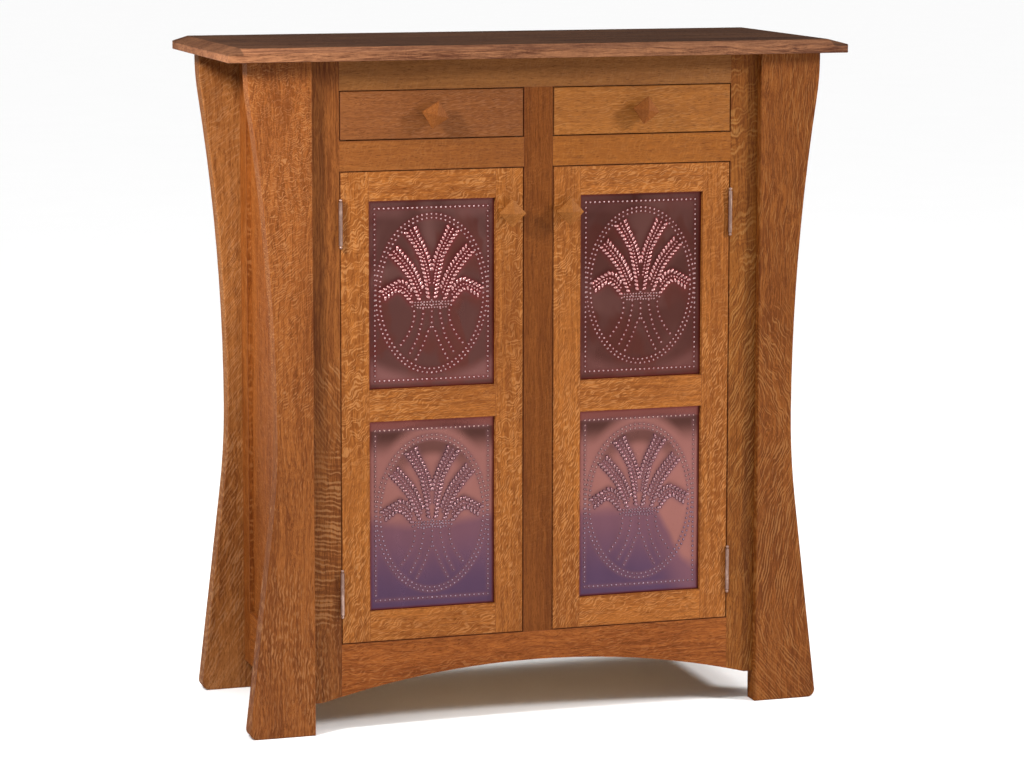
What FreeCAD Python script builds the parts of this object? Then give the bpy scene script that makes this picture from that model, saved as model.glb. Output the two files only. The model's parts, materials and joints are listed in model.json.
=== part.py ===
import FreeCAD, Part
import math
import os

import Sketcher
from FreeCAD import Placement, Rotation, Vector

# A pie safe: a top on four flared plank posts, a face frame with two drawers over two doors,
# framed sides, and punched copper sheets in the doors.
#
# Millimetres. X runs across the front to the right, Y from the front to the back, Z up.
# The origin is on the floor, under the middle of the top.

# ---------------------------------------------------------------------------------------------
# Driving sizes, which fill the sheet
# ---------------------------------------------------------------------------------------------

SIZES = {
    # Posts: planks with a straight inner edge and a flared outer edge
    "posts_apart": 834,
    "case_depth": 423,
    "post_thickness": 38,
    "post_head_width": 115,
    "post_head_height": 48,
    "post_head_radius": 500,
    "post_waist_width": 66,
    "post_waist_height": 535,
    "post_straight_height": 378,
    "post_foot_width": 120.5,
    "post_foot_radius": 14,
    "post_arris": 2.5,
    # Top
    "top_thickness": 24,
    "top_side_overhang": 40,
    "top_front_overhang": 32,
    "top_bevel_drop": 8.6,
    "top_bevel_run": 28.5,
    "top_arris": 1.5,
    # Face frame
    "frame_setback": 16,
    "frame_clearance": 54,
    "frame_stile_width": 52,
    "centre_stile_width": 54,
    "bottom_rail_height": 104,
    "mid_rail_height": 53,
    "top_rail_height": 54,
    "door_opening_height": 842,
    "drawer_opening_height": 88,
    "arch_rise": 52,
    "arch_land": 16,
    # Joints in the frames
    "tenon_thickness": 8,
    "tenon_length": 18,
    "tenon_shoulder": 8,
    # Sides
    "side_step": 39,
    "side_thickness": 19,
    "side_stile_width": 50,
    "side_top_rail_height": 98,
    "side_bottom_rail_height": 100,
    "side_panel_recess": 8,
    "side_panel_thickness": 6,
    "side_panel_tuck": 10,
    # Back, floor, shelf and drawer deck
    "back_panel_thickness": 6,
    "back_panel_lap": 10,
    "back_rail_thickness": 20,
    "back_rail_height": 80,
    "floor_thickness": 18,
    "deck_thickness": 18,
    "guide_height": 30,
    "kicker_gap": 1,
    "shelf_height": 560,
    "shelf_thickness": 18,
    "shelf_front_gap": 12,
    "shelf_play": 1,
    "pin_radius": 2.5,
    "pin_hole_depth": 9,
    "pin_reach": 11,
    "pin_fit": 0.05,
    # Drawers
    "drawer_gap": 1.6,
    "drawer_front_thickness": 19,
    "drawer_lap": 7,
    "drawer_side_thickness": 12,
    "drawer_side_height": 80,
    "drawer_bottom_thickness": 6,
    "drawer_bottom_lift": 9,
    "drawer_groove": 6,
    "drawer_float": 0.3,
    "drawer_stop_gap": 0.5,
    "drawer_arris": 1.5,
    # Doors
    "door_gap": 1.6,
    "door_seat_gap": 0.4,
    "door_stile_width": 51.2,
    "door_top_rail": 52,
    "door_mid_rail": 57,
    "door_bottom_rail": 54,
    "door_lower_sight": 341,
    "door_arris": 1.2,
    "copper_setback": 8,
    "copper_thickness": 1,
    "copper_tuck": 9,
    # Knobs: a four-sided point on a square block with a round neck and a spigot
    "knob_side": 35,
    "knob_back_side": 25,
    "knob_back_bevel": 4,
    "knob_edge": 4,
    "knob_point": 12,
    "knob_neck_radius": 8,
    "knob_neck_length": 13,
    "knob_spigot_radius": 4.5,
    "knob_spigot_length": 14,
    "knob_fit": 0.05,
    "knob_arris": 0.8,
    "door_knob_drop": 79,
    "drawer_left_turn": 59,
    "drawer_right_turn": 54,
    "door_left_turn": 45.5,
    "door_right_turn": 46.5,
    # Hinges: butts with ball tips
    "hinge_from_end": 90,
    "hinge_height": 76,
    "hinge_leaf_thickness": 1.5,
    "hinge_leaf_width": 17,
    "hinge_leaf_gap": 0.2,
    "hinge_barrel_radius": 3.5,
    "hinge_barrel_clear": 0.3,
    "hinge_bore_fit": 0.05,
    "hinge_knuckle_play": 0.3,
    "hinge_pin_radius": 1.7,
    "hinge_tip_radius": 3,
    "hinge_tip_neck": 0.3,
    "screw_head_radius": 3.2,
    "screw_shank_radius": 1.7,
    "screw_length": 16,
    "screw_fit": 0.05,
    # Catches behind the doors' free corners
    "catch_width": 40,
    "catch_depth": 14,
    "catch_height": 32,
    "catch_lap": 20,
}

KNUCKLES = 5
SCREW_PLACES = (0.2, 0.5, 0.8)

doc = FreeCAD.newDocument("PieSafe")
sheet = doc.addObject("Spreadsheet::Sheet", "Sizes")
for row, (alias, number) in enumerate(SIZES.items(), start=1):
    sheet.set("A%d" % row, alias)
    sheet.set("B%d" % row, str(number))
    sheet.setAlias("B%d" % row, alias)
doc.recompute()

# ---------------------------------------------------------------------------------------------
# Places that several pieces share, as expressions over the sheet
# ---------------------------------------------------------------------------------------------

# Across, from the middle plane outwards
POST_IN = "(Sizes.posts_apart / 2)"
OPENING_IN = "(Sizes.centre_stile_width / 2)"
OPENING_OUT = "(%s - Sizes.frame_stile_width)" % POST_IN
SIDE_OUT = "(%s + Sizes.side_step)" % POST_IN
SIDE_IN = "(%s - Sizes.side_thickness)" % SIDE_OUT
OPENING_MID = "((%s + %s) / 2)" % (OPENING_IN, OPENING_OUT)

# Front to back
TOP_FRONT = "(-(Sizes.case_depth + Sizes.top_front_overhang) / 2)"
CASE_FRONT = "(%s + Sizes.top_front_overhang)" % TOP_FRONT
CASE_BACK = "(%s + Sizes.case_depth)" % CASE_FRONT
FRAME_FRONT = "(%s + Sizes.frame_setback)" % CASE_FRONT
FRAME_BACK = "(%s + Sizes.post_thickness)" % CASE_FRONT
FRAME_MID = "((%s + %s) / 2)" % (FRAME_FRONT, FRAME_BACK)
BACK_POST_FRONT = "(%s - Sizes.post_thickness)" % CASE_BACK
BACK_PANEL_FRONT = "(%s - Sizes.back_panel_thickness)" % CASE_BACK
BACK_RAIL_FRONT = "(%s - Sizes.back_rail_thickness)" % BACK_PANEL_FRONT

# Up
FRAME_FOOT = "(Sizes.frame_clearance)"
DOORWAY_FOOT = "(%s + Sizes.bottom_rail_height)" % FRAME_FOOT
DOORWAY_HEAD = "(%s + Sizes.door_opening_height)" % DOORWAY_FOOT
DRAWERS_FOOT = "(%s + Sizes.mid_rail_height)" % DOORWAY_HEAD
DRAWERS_HEAD = "(%s + Sizes.drawer_opening_height)" % DRAWERS_FOOT
TOP_FOOT = "(%s + Sizes.top_rail_height)" % DRAWERS_HEAD
DECK_FOOT = "(%s - Sizes.deck_thickness)" % DRAWERS_FOOT

SIDES = {"left": -1, "right": 1}


def size(alias):
    """The number that the sheet holds under an alias."""
    return float(sheet.get(alias))


def minus(a, b):
    return "(%s) - (%s)" % (a, b)


def plus(a, b):
    return "(%s) + (%s)" % (a, b)


def across(side, near, far):
    """The X range from near to far of the middle plane, on the side that the sign gives."""
    if side > 0:
        return (near, far)
    return ("-(%s)" % far, "-(%s)" % near)


def both_ways(reach):
    return ("-(%s)" % reach, reach)


def about(middle, width):
    return ("(%s) - (%s) / 2" % (middle, width), "(%s) + (%s) / 2" % (middle, width))


def widened(span, by):
    """A range carried further by the same amount at both its ends."""
    return (minus(span[0], by), plus(span[1], by))


# ---------------------------------------------------------------------------------------------
# Sub-parts made as bodies
# ---------------------------------------------------------------------------------------------

nodes = []


class Piece:
    """A sub-part with a body of its own. Its corner is the body's origin, as three expressions."""

    def __init__(self, name, corner):
        self.name = name
        self.corner = corner
        self.body = doc.addObject("PartDesign::Body", name)
        self.body.Label = name
        for axis, place in zip("xyz", corner):
            self.body.setExpression("Placement.Base." + axis, place)
        self.made = 0
        nodes.append(self.body)

    def feature(self, kind):
        self.made += 1
        return self.body.newObject("PartDesign::" + kind, "%s_%s_%d" % (self.name, kind, self.made))

    def sketch(self, role):
        """An empty sketch on one of the body's origin planes."""
        plane = [f for f in self.body.Origin.OriginFeatures if f.Role == role][0]
        drawn = self.body.newObject("Sketcher::SketchObject", self.name + "_sketch")
        drawn.AttachmentSupport = [(plane, "")]
        drawn.MapMode = "FlatFace"
        return drawn

    def pad(self, sketch, length, reverse=False):
        pad = self.feature("Pad")
        pad.Profile = sketch
        pad.setExpression("Length", length)
        pad.Reversed = reverse
        sketch.Visibility = False
        return pad

    def block(self, kind, x, y, z):
        """An AdditiveBox or SubtractiveBox between places given in the whole model."""
        made = self.feature(kind)
        ranges = (x, y, z)
        for side, (low, high) in zip(("Length", "Width", "Height"), ranges):
            made.setExpression(side, minus(high, low))
        for axis, (low, high), start in zip("xyz", ranges, self.corner):
            made.setExpression("Placement.Base." + axis, minus(low, start))
        return made

    def add(self, x, y, z):
        return self.block("AdditiveBox", x, y, z)

    def cut(self, x, y, z):
        return self.block("SubtractiveBox", x, y, z)

    def bore(self, axis, radius, start, length):
        """Drills a round hole from the start place, along +X or +Y."""
        hole = self.feature("SubtractiveCylinder")
        turn = {"x": Rotation(Vector(0, 1, 0), 90), "y": Rotation(Vector(1, 0, 0), -90)}[axis]
        hole.Placement = Placement(Vector(), turn)
        hole.setExpression("Radius", radius)
        hole.setExpression("Height", length)
        for way, place, begin in zip("xyz", start, self.corner):
            hole.setExpression("Placement.Base." + way, minus(place, begin))
        return hole

    def ease(self, radius, wanted):
        """Rounds the edges of the last feature that the wanted test picks."""
        doc.recompute()
        last = self.body.Tip
        names = ["Edge%d" % (n + 1) for n, edge in enumerate(last.Shape.Edges) if wanted(edge)]
        if not names:
            raise RuntimeError("%s has no edge to round" % self.name)
        fillet = self.feature("Fillet")
        fillet.Base = (last, names)
        fillet.setExpression("Radius", radius)
        return fillet


# A rectangle is first drawn off the origin as a small square, which its constraints then place and size
DRAWN_OFF = 1
DRAWN_SIDE = 8


def rectangle(sketch, width, height):
    """A rectangle with its corner on the sketch's origin."""
    low, high = DRAWN_OFF, DRAWN_OFF + DRAWN_SIDE
    corners = [Vector(x, y, 0) for x, y in ((low, low), (high, low), (high, high), (low, high))]
    for n in range(4):
        sketch.addGeometry(Part.LineSegment(corners[n], corners[(n + 1) % 4]), False)
    for n in range(4):
        sketch.addConstraint(Sketcher.Constraint("Coincident", n, 2, (n + 1) % 4, 1))
    for n in (0, 2):
        sketch.addConstraint(Sketcher.Constraint("Horizontal", n))
    for n in (1, 3):
        sketch.addConstraint(Sketcher.Constraint("Vertical", n))
    sketch.addConstraint(Sketcher.Constraint("Coincident", 0, 1, -1, 1))
    dimension(sketch, "width", width, Sketcher.Constraint("DistanceX", 0, 1, 0, 2, DRAWN_SIDE))
    dimension(sketch, "height", height, Sketcher.Constraint("DistanceY", 1, 1, 1, 2, DRAWN_SIDE))


def dimension(sketch, name, expression, constraint):
    """Adds a named dimension and binds it to an expression."""
    number = sketch.addConstraint(constraint)
    sketch.renameConstraint(number, name)
    sketch.setExpression("Constraints." + name, expression)


def board(name, x, y, z):
    """A rectangular board between the places given by three ranges."""
    piece = Piece(name, (x[0], y[0], z[0]))
    outline = piece.sketch("XY_Plane")
    rectangle(outline, minus(x[1], x[0]), minus(y[1], y[0]))
    piece.pad(outline, minus(z[1], z[0]))
    return piece


def middle_of(edge):
    return edge.valueAt((edge.FirstParameter + edge.LastParameter) / 2)


def near(a, b):
    return abs(a - b) < 0.01


# ---------------------------------------------------------------------------------------------
# Groups of like solids, made with Part primitives
# ---------------------------------------------------------------------------------------------


def part_box(name, x, y, z):
    made = doc.addObject("Part::Box", name)
    for side, (low, high) in zip(("Length", "Width", "Height"), (x, y, z)):
        made.setExpression(side, minus(high, low))
    for axis, (low, high) in zip("xyz", (x, y, z)):
        made.setExpression("Placement.Base." + axis, low)
    return made


def part_rod(name, axis, radius, start, length):
    made = doc.addObject("Part::Cylinder", name)
    if axis == "x":
        made.Placement = Placement(Vector(), Rotation(Vector(0, 1, 0), 90))
    made.setExpression("Radius", radius)
    made.setExpression("Height", length)
    for way, place in zip("xyz", start):
        made.setExpression("Placement.Base." + way, place)
    return made


def part_ball(name, radius, centre):
    made = doc.addObject("Part::Sphere", name)
    made.setExpression("Radius", radius)
    for way, place in zip("xyz", centre):
        made.setExpression("Placement.Base." + way, place)
    return made


def fused(name, shapes):
    made = doc.addObject("Part::MultiFuse", name)
    made.Shapes = shapes
    return made


def less(name, base, tools):
    made = doc.addObject("Part::Cut", name)
    made.Base = base
    made.Tool = tools[0] if len(tools) == 1 else fused(name + "_tools", tools)
    return made


def group(name, shapes):
    made = doc.addObject("Part::Compound", name)
    made.Label = name
    made.Links = shapes
    nodes.append(made)
    return made


# ---------------------------------------------------------------------------------------------
# Top
# ---------------------------------------------------------------------------------------------


def make_top():
    """A board with a wide bevel along its front and its two ends."""
    reach = "(%s + Sizes.post_head_width + Sizes.top_side_overhang)" % POST_IN
    width = "(2 * %s)" % reach
    depth = "(Sizes.case_depth + Sizes.top_front_overhang)"
    edge = "(Sizes.top_thickness - Sizes.top_bevel_drop)"
    top = Piece("top", ("-%s" % reach, TOP_FRONT, TOP_FOOT))
    slab = top.sketch("XY_Plane")
    rectangle(slab, width, depth)
    top.pad(slab, edge)
    # The bevelled layer is a wedge: its own Y points up, and its own Z points to the front
    run = "Sizes.top_bevel_run"
    bevel = top.feature("AdditiveWedge")
    bevel.Placement = Placement(Vector(), Rotation(Vector(1, 0, 0), 90))
    for place, expression in (
        ("Ymin", edge),
        ("Ymax", "Sizes.top_thickness"),
        ("Xmin", "0"),
        ("Xmax", width),
        ("X2min", run),
        ("X2max", "%s - %s" % (width, run)),
        ("Zmin", "-" + depth),
        ("Zmax", "0"),
        ("Z2min", "-" + depth),
        ("Z2max", "-" + run),
    ):
        bevel.setExpression(place, expression)

    height = size("top_thickness") - size("top_bevel_drop")
    far = size("case_depth") + size("top_front_overhang")

    def outer(edge_):
        at = middle_of(edge_)
        return at.y < far - 0.01 and (near(at.z, 0) or near(at.z, height))

    top.ease("Sizes.top_arris", outer)


# ---------------------------------------------------------------------------------------------
# Posts
# ---------------------------------------------------------------------------------------------


def post_outline(sketch):
    """Inner edge, head, hollow outer edge of two arcs, straight leg and foot."""
    waist = Vector(size("post_waist_width"), size("post_waist_height"), 0)
    height = (
        size("frame_clearance")
        + size("bottom_rail_height")
        + size("door_opening_height")
        + size("mid_rail_height")
        + size("drawer_opening_height")
        + size("top_rail_height")
    )
    head = Vector(size("post_head_width"), height - size("post_head_height"), 0)
    foot = Vector(size("post_foot_width"), 0, 0)
    knee_height = size("post_straight_height")

    # Upper arc: level with the waist at its centre, ending under the head
    spread = head.x - waist.x
    climb = head.y - waist.y
    upper_radius = (spread**2 + climb**2) / (2 * spread)
    upper_angle = math.asin(climb / upper_radius)

    # Lower arc: it meets the straight leg at a tangent
    slope = (foot.x - waist.x) / (knee_height + (waist.y - knee_height) / 2)
    lower_angle = math.atan(slope)
    lower_radius = (waist.y - knee_height) / math.sin(lower_angle)
    knee = Vector(waist.x + lower_radius * (1 - math.cos(lower_angle)), knee_height, 0)

    inner, top, side, upper, lower, leg, sole = range(7)
    sketch.addGeometry(Part.LineSegment(Vector(0, 0, 0), Vector(0, height, 0)), False)
    sketch.addGeometry(Part.LineSegment(Vector(0, height, 0), Vector(head.x, height, 0)), False)
    sketch.addGeometry(Part.LineSegment(Vector(head.x, height, 0), head), False)
    circle = Part.Circle(Vector(waist.x + upper_radius, waist.y, 0), Vector(0, 0, 1), upper_radius)
    sketch.addGeometry(Part.ArcOfCircle(circle, math.pi - upper_angle, math.pi), False)
    circle = Part.Circle(Vector(waist.x + lower_radius, waist.y, 0), Vector(0, 0, 1), lower_radius)
    sketch.addGeometry(Part.ArcOfCircle(circle, math.pi, math.pi + lower_angle), False)
    sketch.addGeometry(Part.LineSegment(knee, foot), False)
    sketch.addGeometry(Part.LineSegment(foot, Vector(0, 0, 0)), False)

    start, end, centre = 1, 2, 3
    origin = (-1, 1)
    for joint in (
        ("Coincident", inner, start, *origin),
        ("Coincident", inner, end, top, start),
        ("Coincident", top, end, side, start),
        ("Coincident", side, end, upper, start),
        ("Coincident", upper, end, lower, start),
        ("Tangent", lower, end, leg, start),
        ("Coincident", leg, end, sole, start),
        ("Coincident", sole, end, inner, start),
        ("Vertical", inner),
        ("Horizontal", top),
        ("Vertical", side),
        ("Horizontal", sole),
        ("Horizontal", upper, centre, upper, end),
        ("Horizontal", lower, centre, upper, end),
    ):
        sketch.addConstraint(Sketcher.Constraint(*joint))
    for name, expression, place in (
        ("height", TOP_FOOT, ("DistanceY", inner, start, inner, end, height)),
        ("head_width", "Sizes.post_head_width", ("DistanceX", top, start, top, end, head.x)),
        ("head_height", "Sizes.post_head_height", ("DistanceY", side, end, side, start, height - head.y)),
        ("waist_width", "Sizes.post_waist_width", ("DistanceX", *origin, upper, end, waist.x)),
        ("waist_height", "Sizes.post_waist_height", ("DistanceY", *origin, upper, end, waist.y)),
        ("knee_height", "Sizes.post_straight_height", ("DistanceY", *origin, leg, start, knee.y)),
        ("foot_width", "Sizes.post_foot_width", ("DistanceX", sole, end, sole, start, foot.x)),
    ):
        dimension(sketch, name, expression, Sketcher.Constraint(*place))


def make_post(row, hand):
    """One plank. A left post is the same plank turned half round, so its origin is behind it."""
    side = SIDES[hand]
    front = CASE_FRONT if row == "front" else BACK_POST_FRONT
    if side > 0:
        post = Piece("post_%s_%s" % (row, hand), (POST_IN, front, "0"))
    else:
        post = Piece("post_%s_%s" % (row, hand), ("-" + POST_IN, plus(front, "Sizes.post_thickness"), "0"))
        post.body.Placement.Rotation = Rotation(Vector(0, 0, 1), 180)
    outline = post.sketch("XZ_Plane")
    post_outline(outline)
    post.pad(outline, "Sizes.post_thickness", reverse=True)

    doc.recompute()
    head = post.body.Tip.Shape.BoundBox.ZMax
    thickness = size("post_thickness")
    front_face = 0 if side > 0 else thickness

    def sole_corner(edge):
        at = middle_of(edge)
        return near(at.x, size("post_foot_width")) and near(at.z, 0)

    def head_corner(edge):
        at = middle_of(edge)
        return near(at.x, size("post_head_width")) and near(at.z, head - size("post_head_height"))

    post.ease("Sizes.post_foot_radius", sole_corner)
    post.ease("Sizes.post_head_radius", head_corner)

    def shows(edge):
        """The outer edge's arrises, and a front post's inner arris at its face."""
        at = middle_of(edge)
        if near(edge.Vertexes[0].Z, edge.Vertexes[-1].Z) and (near(at.z, head) or near(at.z, 0)):
            return False
        if not near(edge.Vertexes[0].Y, edge.Vertexes[-1].Y):
            return False
        return at.x > 1 or (row == "front" and near(at.y, front_face))

    post.ease("Sizes.post_arris", shows)

    if row == "back":
        rabbet = post.feature("SubtractiveBox")
        rabbet.setExpression("Length", "Sizes.back_panel_lap")
        rabbet.setExpression("Width", "Sizes.back_panel_thickness")
        rabbet.setExpression("Height", minus(TOP_FOOT, FRAME_FOOT))
        rabbet.setExpression("Placement.Base.z", FRAME_FOOT)
        if side > 0:
            rabbet.setExpression("Placement.Base.y", "Sizes.post_thickness - Sizes.back_panel_thickness")


# ---------------------------------------------------------------------------------------------
# Face frame
# ---------------------------------------------------------------------------------------------

FRAME_Y = (FRAME_FRONT, FRAME_BACK)
FRAME_TENON_Y = about(FRAME_MID, "Sizes.tenon_thickness")


def shouldered(low, high):
    """The height of a tenon on a rail from low to high."""
    return (plus(low, "Sizes.tenon_shoulder"), minus(high, "Sizes.tenon_shoulder"))


TOP_TENON_Z = shouldered(DRAWERS_HEAD, TOP_FOOT)
MID_TENON_Z = shouldered(DOORWAY_HEAD, DRAWERS_FOOT)
BOTTOM_TENON_Z = ("%s + Sizes.arch_rise / 2" % FRAME_FOOT, "%s - Sizes.tenon_shoulder" % DOORWAY_FOOT)
CENTRE_TENON_X = both_ways("(%s - Sizes.tenon_shoulder)" % OPENING_IN)


def cut_arch(piece):
    """Cuts the shallow arch that runs through both outer stiles and the bottom rail."""
    half = "(%s - Sizes.arch_land)" % POST_IN
    radius = "((%s * %s + Sizes.arch_rise * Sizes.arch_rise) / (2 * Sizes.arch_rise))" % (half, half)
    centre_z = "(%s + Sizes.arch_rise - %s)" % (FRAME_FOOT, radius)
    thickness = minus(FRAME_BACK, FRAME_FRONT)
    piece.bore("y", radius, ("0", FRAME_FRONT, centre_z), thickness)


def make_outer_stile(hand):
    side = SIDES[hand]
    stile = board(
        "face_stile_" + hand,
        across(side, OPENING_OUT, POST_IN),
        FRAME_Y,
        (FRAME_FOOT, TOP_FOOT),
    )
    mortise_x = across(side, OPENING_OUT, "%s + Sizes.tenon_length" % OPENING_OUT)
    for height in (TOP_TENON_Z, MID_TENON_Z, BOTTOM_TENON_Z):
        stile.cut(mortise_x, FRAME_TENON_Y, height)
    cut_arch(stile)
    for end in ("lower", "upper"):
        hinge_mortise(stile, side, end, "frame")


def make_centre_stile():
    stile = board("face_stile_centre", both_ways(OPENING_IN), FRAME_Y, (DOORWAY_FOOT, DRAWERS_HEAD))
    stile.add(CENTRE_TENON_X, FRAME_TENON_Y, (DRAWERS_HEAD, plus(DRAWERS_HEAD, "Sizes.tenon_length")))
    stile.add(CENTRE_TENON_X, FRAME_TENON_Y, (minus(DOORWAY_FOOT, "Sizes.tenon_length"), DOORWAY_FOOT))
    for side in SIDES.values():
        mortise_x = across(side, "%s - Sizes.tenon_length" % OPENING_IN, OPENING_IN)
        stile.cut(mortise_x, FRAME_TENON_Y, MID_TENON_Z)


def make_top_rail():
    rail = board("face_top_rail", both_ways(OPENING_OUT), FRAME_Y, (DRAWERS_HEAD, TOP_FOOT))
    for side in SIDES.values():
        tenon_x = across(side, OPENING_OUT, "%s + Sizes.tenon_length" % OPENING_OUT)
        rail.add(tenon_x, FRAME_TENON_Y, TOP_TENON_Z)
    rail.cut(CENTRE_TENON_X, FRAME_TENON_Y, (DRAWERS_HEAD, plus(DRAWERS_HEAD, "Sizes.tenon_length")))


def make_mid_rail(hand):
    side = SIDES[hand]
    rail = board(
        "face_mid_rail_" + hand,
        across(side, OPENING_IN, OPENING_OUT),
        FRAME_Y,
        (DOORWAY_HEAD, DRAWERS_FOOT),
    )
    rail.add(across(side, OPENING_OUT, "%s + Sizes.tenon_length" % OPENING_OUT), FRAME_TENON_Y, MID_TENON_Z)
    rail.add(across(side, "%s - Sizes.tenon_length" % OPENING_IN, OPENING_IN), FRAME_TENON_Y, MID_TENON_Z)


def make_bottom_rail():
    rail = board("face_bottom_rail", both_ways(OPENING_OUT), FRAME_Y, (FRAME_FOOT, DOORWAY_FOOT))
    for side in SIDES.values():
        tenon_x = across(side, OPENING_OUT, "%s + Sizes.tenon_length" % OPENING_OUT)
        rail.add(tenon_x, FRAME_TENON_Y, BOTTOM_TENON_Z)
    rail.cut(CENTRE_TENON_X, FRAME_TENON_Y, (minus(DOORWAY_FOOT, "Sizes.tenon_length"), DOORWAY_FOOT))
    cut_arch(rail)


# ---------------------------------------------------------------------------------------------
# Sides: a frame with a flat panel, between a front and a back post
# ---------------------------------------------------------------------------------------------

SIDE_FRONT = FRAME_BACK
SIDE_BACK = BACK_POST_FRONT
SIDE_PANEL_OUT = "(%s - Sizes.side_panel_recess)" % SIDE_OUT
SIDE_PANEL_IN = "(%s - Sizes.side_panel_thickness)" % SIDE_PANEL_OUT
SIDE_SIGHT_FRONT = "(%s + Sizes.side_stile_width)" % SIDE_FRONT
SIDE_SIGHT_BACK = "(%s - Sizes.side_stile_width)" % SIDE_BACK
SIDE_SIGHT_FOOT = "(%s + Sizes.side_bottom_rail_height)" % FRAME_FOOT
SIDE_SIGHT_HEAD = "(%s - Sizes.side_top_rail_height)" % TOP_FOOT
SIDE_PANEL_Y = widened((SIDE_SIGHT_FRONT, SIDE_SIGHT_BACK), "Sizes.side_panel_tuck")
SIDE_PANEL_Z = widened((SIDE_SIGHT_FOOT, SIDE_SIGHT_HEAD), "Sizes.side_panel_tuck")
SIDE_RAILS = {
    "bottom": (FRAME_FOOT, SIDE_SIGHT_FOOT),
    "top": (SIDE_SIGHT_HEAD, TOP_FOOT),
}


def side_tenon(rail):
    """The height of a side rail's tenon, clear of the panel's groove."""
    low, high = SIDE_RAILS[rail]
    tuck = "Sizes.side_panel_tuck + Sizes.tenon_shoulder / 2"
    if rail == "bottom":
        return (plus(low, "Sizes.tenon_shoulder"), "(%s) - (%s)" % (high, tuck))
    return ("(%s) + (%s)" % (low, tuck), minus(high, "Sizes.tenon_shoulder"))


def make_side(hand):
    side = SIDES[hand]
    frame_x = across(side, SIDE_IN, SIDE_OUT)
    panel_x = across(side, SIDE_PANEL_IN, SIDE_PANEL_OUT)
    sight_y = (SIDE_SIGHT_FRONT, SIDE_SIGHT_BACK)
    tenon_x = across(side, *about("(%s + %s) / 2" % (SIDE_IN, SIDE_OUT), "Sizes.tenon_thickness"))
    stiles = {
        "front": (SIDE_FRONT, SIDE_SIGHT_FRONT),
        "back": (SIDE_SIGHT_BACK, SIDE_BACK),
    }
    tenons = {
        "front": (minus(SIDE_SIGHT_FRONT, "Sizes.tenon_length"), SIDE_SIGHT_FRONT),
        "back": (SIDE_SIGHT_BACK, plus(SIDE_SIGHT_BACK, "Sizes.tenon_length")),
    }
    pin_start = across(side, SIDE_IN, plus(SIDE_IN, "Sizes.pin_hole_depth"))[0]
    for end, stile_y in stiles.items():
        stile = board("side_%s_%s_stile" % (hand, end), frame_x, stile_y, (FRAME_FOOT, TOP_FOOT))
        for rail in SIDE_RAILS:
            stile.cut(tenon_x, tenons[end], side_tenon(rail))
        if end == "front":
            stile.cut(panel_x, (SIDE_PANEL_Y[0], SIDE_SIGHT_FRONT), SIDE_PANEL_Z)
        else:
            stile.cut(panel_x, (SIDE_SIGHT_BACK, SIDE_PANEL_Y[1]), SIDE_PANEL_Z)
        place = (pin_start, "((%s) + (%s)) / 2" % stile_y, PIN_Z)
        stile.bore("x", "Sizes.pin_radius + Sizes.pin_fit", place, "Sizes.pin_hole_depth")
    for rail, rail_z in SIDE_RAILS.items():
        piece = board("side_%s_%s_rail" % (hand, rail), frame_x, sight_y, rail_z)
        for tenon_y in tenons.values():
            piece.add(tenon_x, tenon_y, side_tenon(rail))
        if rail == "bottom":
            piece.cut(panel_x, sight_y, (SIDE_PANEL_Z[0], SIDE_SIGHT_FOOT))
        else:
            piece.cut(panel_x, sight_y, (SIDE_SIGHT_HEAD, SIDE_PANEL_Z[1]))
    board("side_%s_panel" % hand, panel_x, SIDE_PANEL_Y, SIDE_PANEL_Z)


# ---------------------------------------------------------------------------------------------
# Back, floor, deck, guides and shelf
# ---------------------------------------------------------------------------------------------

PIN_Z = "(Sizes.shelf_height - Sizes.pin_radius)"
DRAWER_BOX_FOOT = "(%s + Sizes.drawer_float)" % DRAWERS_FOOT
DRAWER_BOX_HEAD = "(%s + Sizes.drawer_side_height)" % DRAWER_BOX_FOOT


def make_back():
    board(
        "back_panel",
        both_ways("(%s + Sizes.back_panel_lap)" % POST_IN),
        (BACK_PANEL_FRONT, CASE_BACK),
        (FRAME_FOOT, TOP_FOOT),
    )
    board(
        "back_top_rail",
        both_ways(POST_IN),
        (BACK_RAIL_FRONT, BACK_PANEL_FRONT),
        (minus(TOP_FOOT, "Sizes.back_rail_height"), TOP_FOOT),
    )


def make_level(name, low, high):
    """A full-depth board between the sides, notched round the back posts."""
    level = board(name, both_ways(SIDE_IN), (FRAME_BACK, BACK_PANEL_FRONT), (low, high))
    for side in SIDES.values():
        level.cut(across(side, POST_IN, SIDE_IN), (BACK_POST_FRONT, BACK_PANEL_FRONT), (low, high))


def make_guides():
    """Strips that lead the drawers' sides: three on the deck, and a kicker over the inner sides."""
    strip_y = (FRAME_BACK, BACK_POST_FRONT)
    strip_z = (DRAWERS_FOOT, plus(DRAWERS_FOOT, "Sizes.guide_height"))
    strips = [part_box("guide_centre", both_ways(OPENING_IN), strip_y, strip_z)]
    for hand, side in SIDES.items():
        strips.append(part_box("guide_" + hand, across(side, OPENING_OUT, SIDE_IN), strip_y, strip_z))
    kicker_x = both_ways("%s + Sizes.drawer_gap + Sizes.drawer_side_thickness" % OPENING_IN)
    kicker_z = (plus(DRAWER_BOX_HEAD, "Sizes.kicker_gap"), TOP_FOOT)
    strips.append(part_box("kicker", kicker_x, (FRAME_BACK, BACK_RAIL_FRONT), kicker_z))
    group("drawer_guides", strips)


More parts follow.
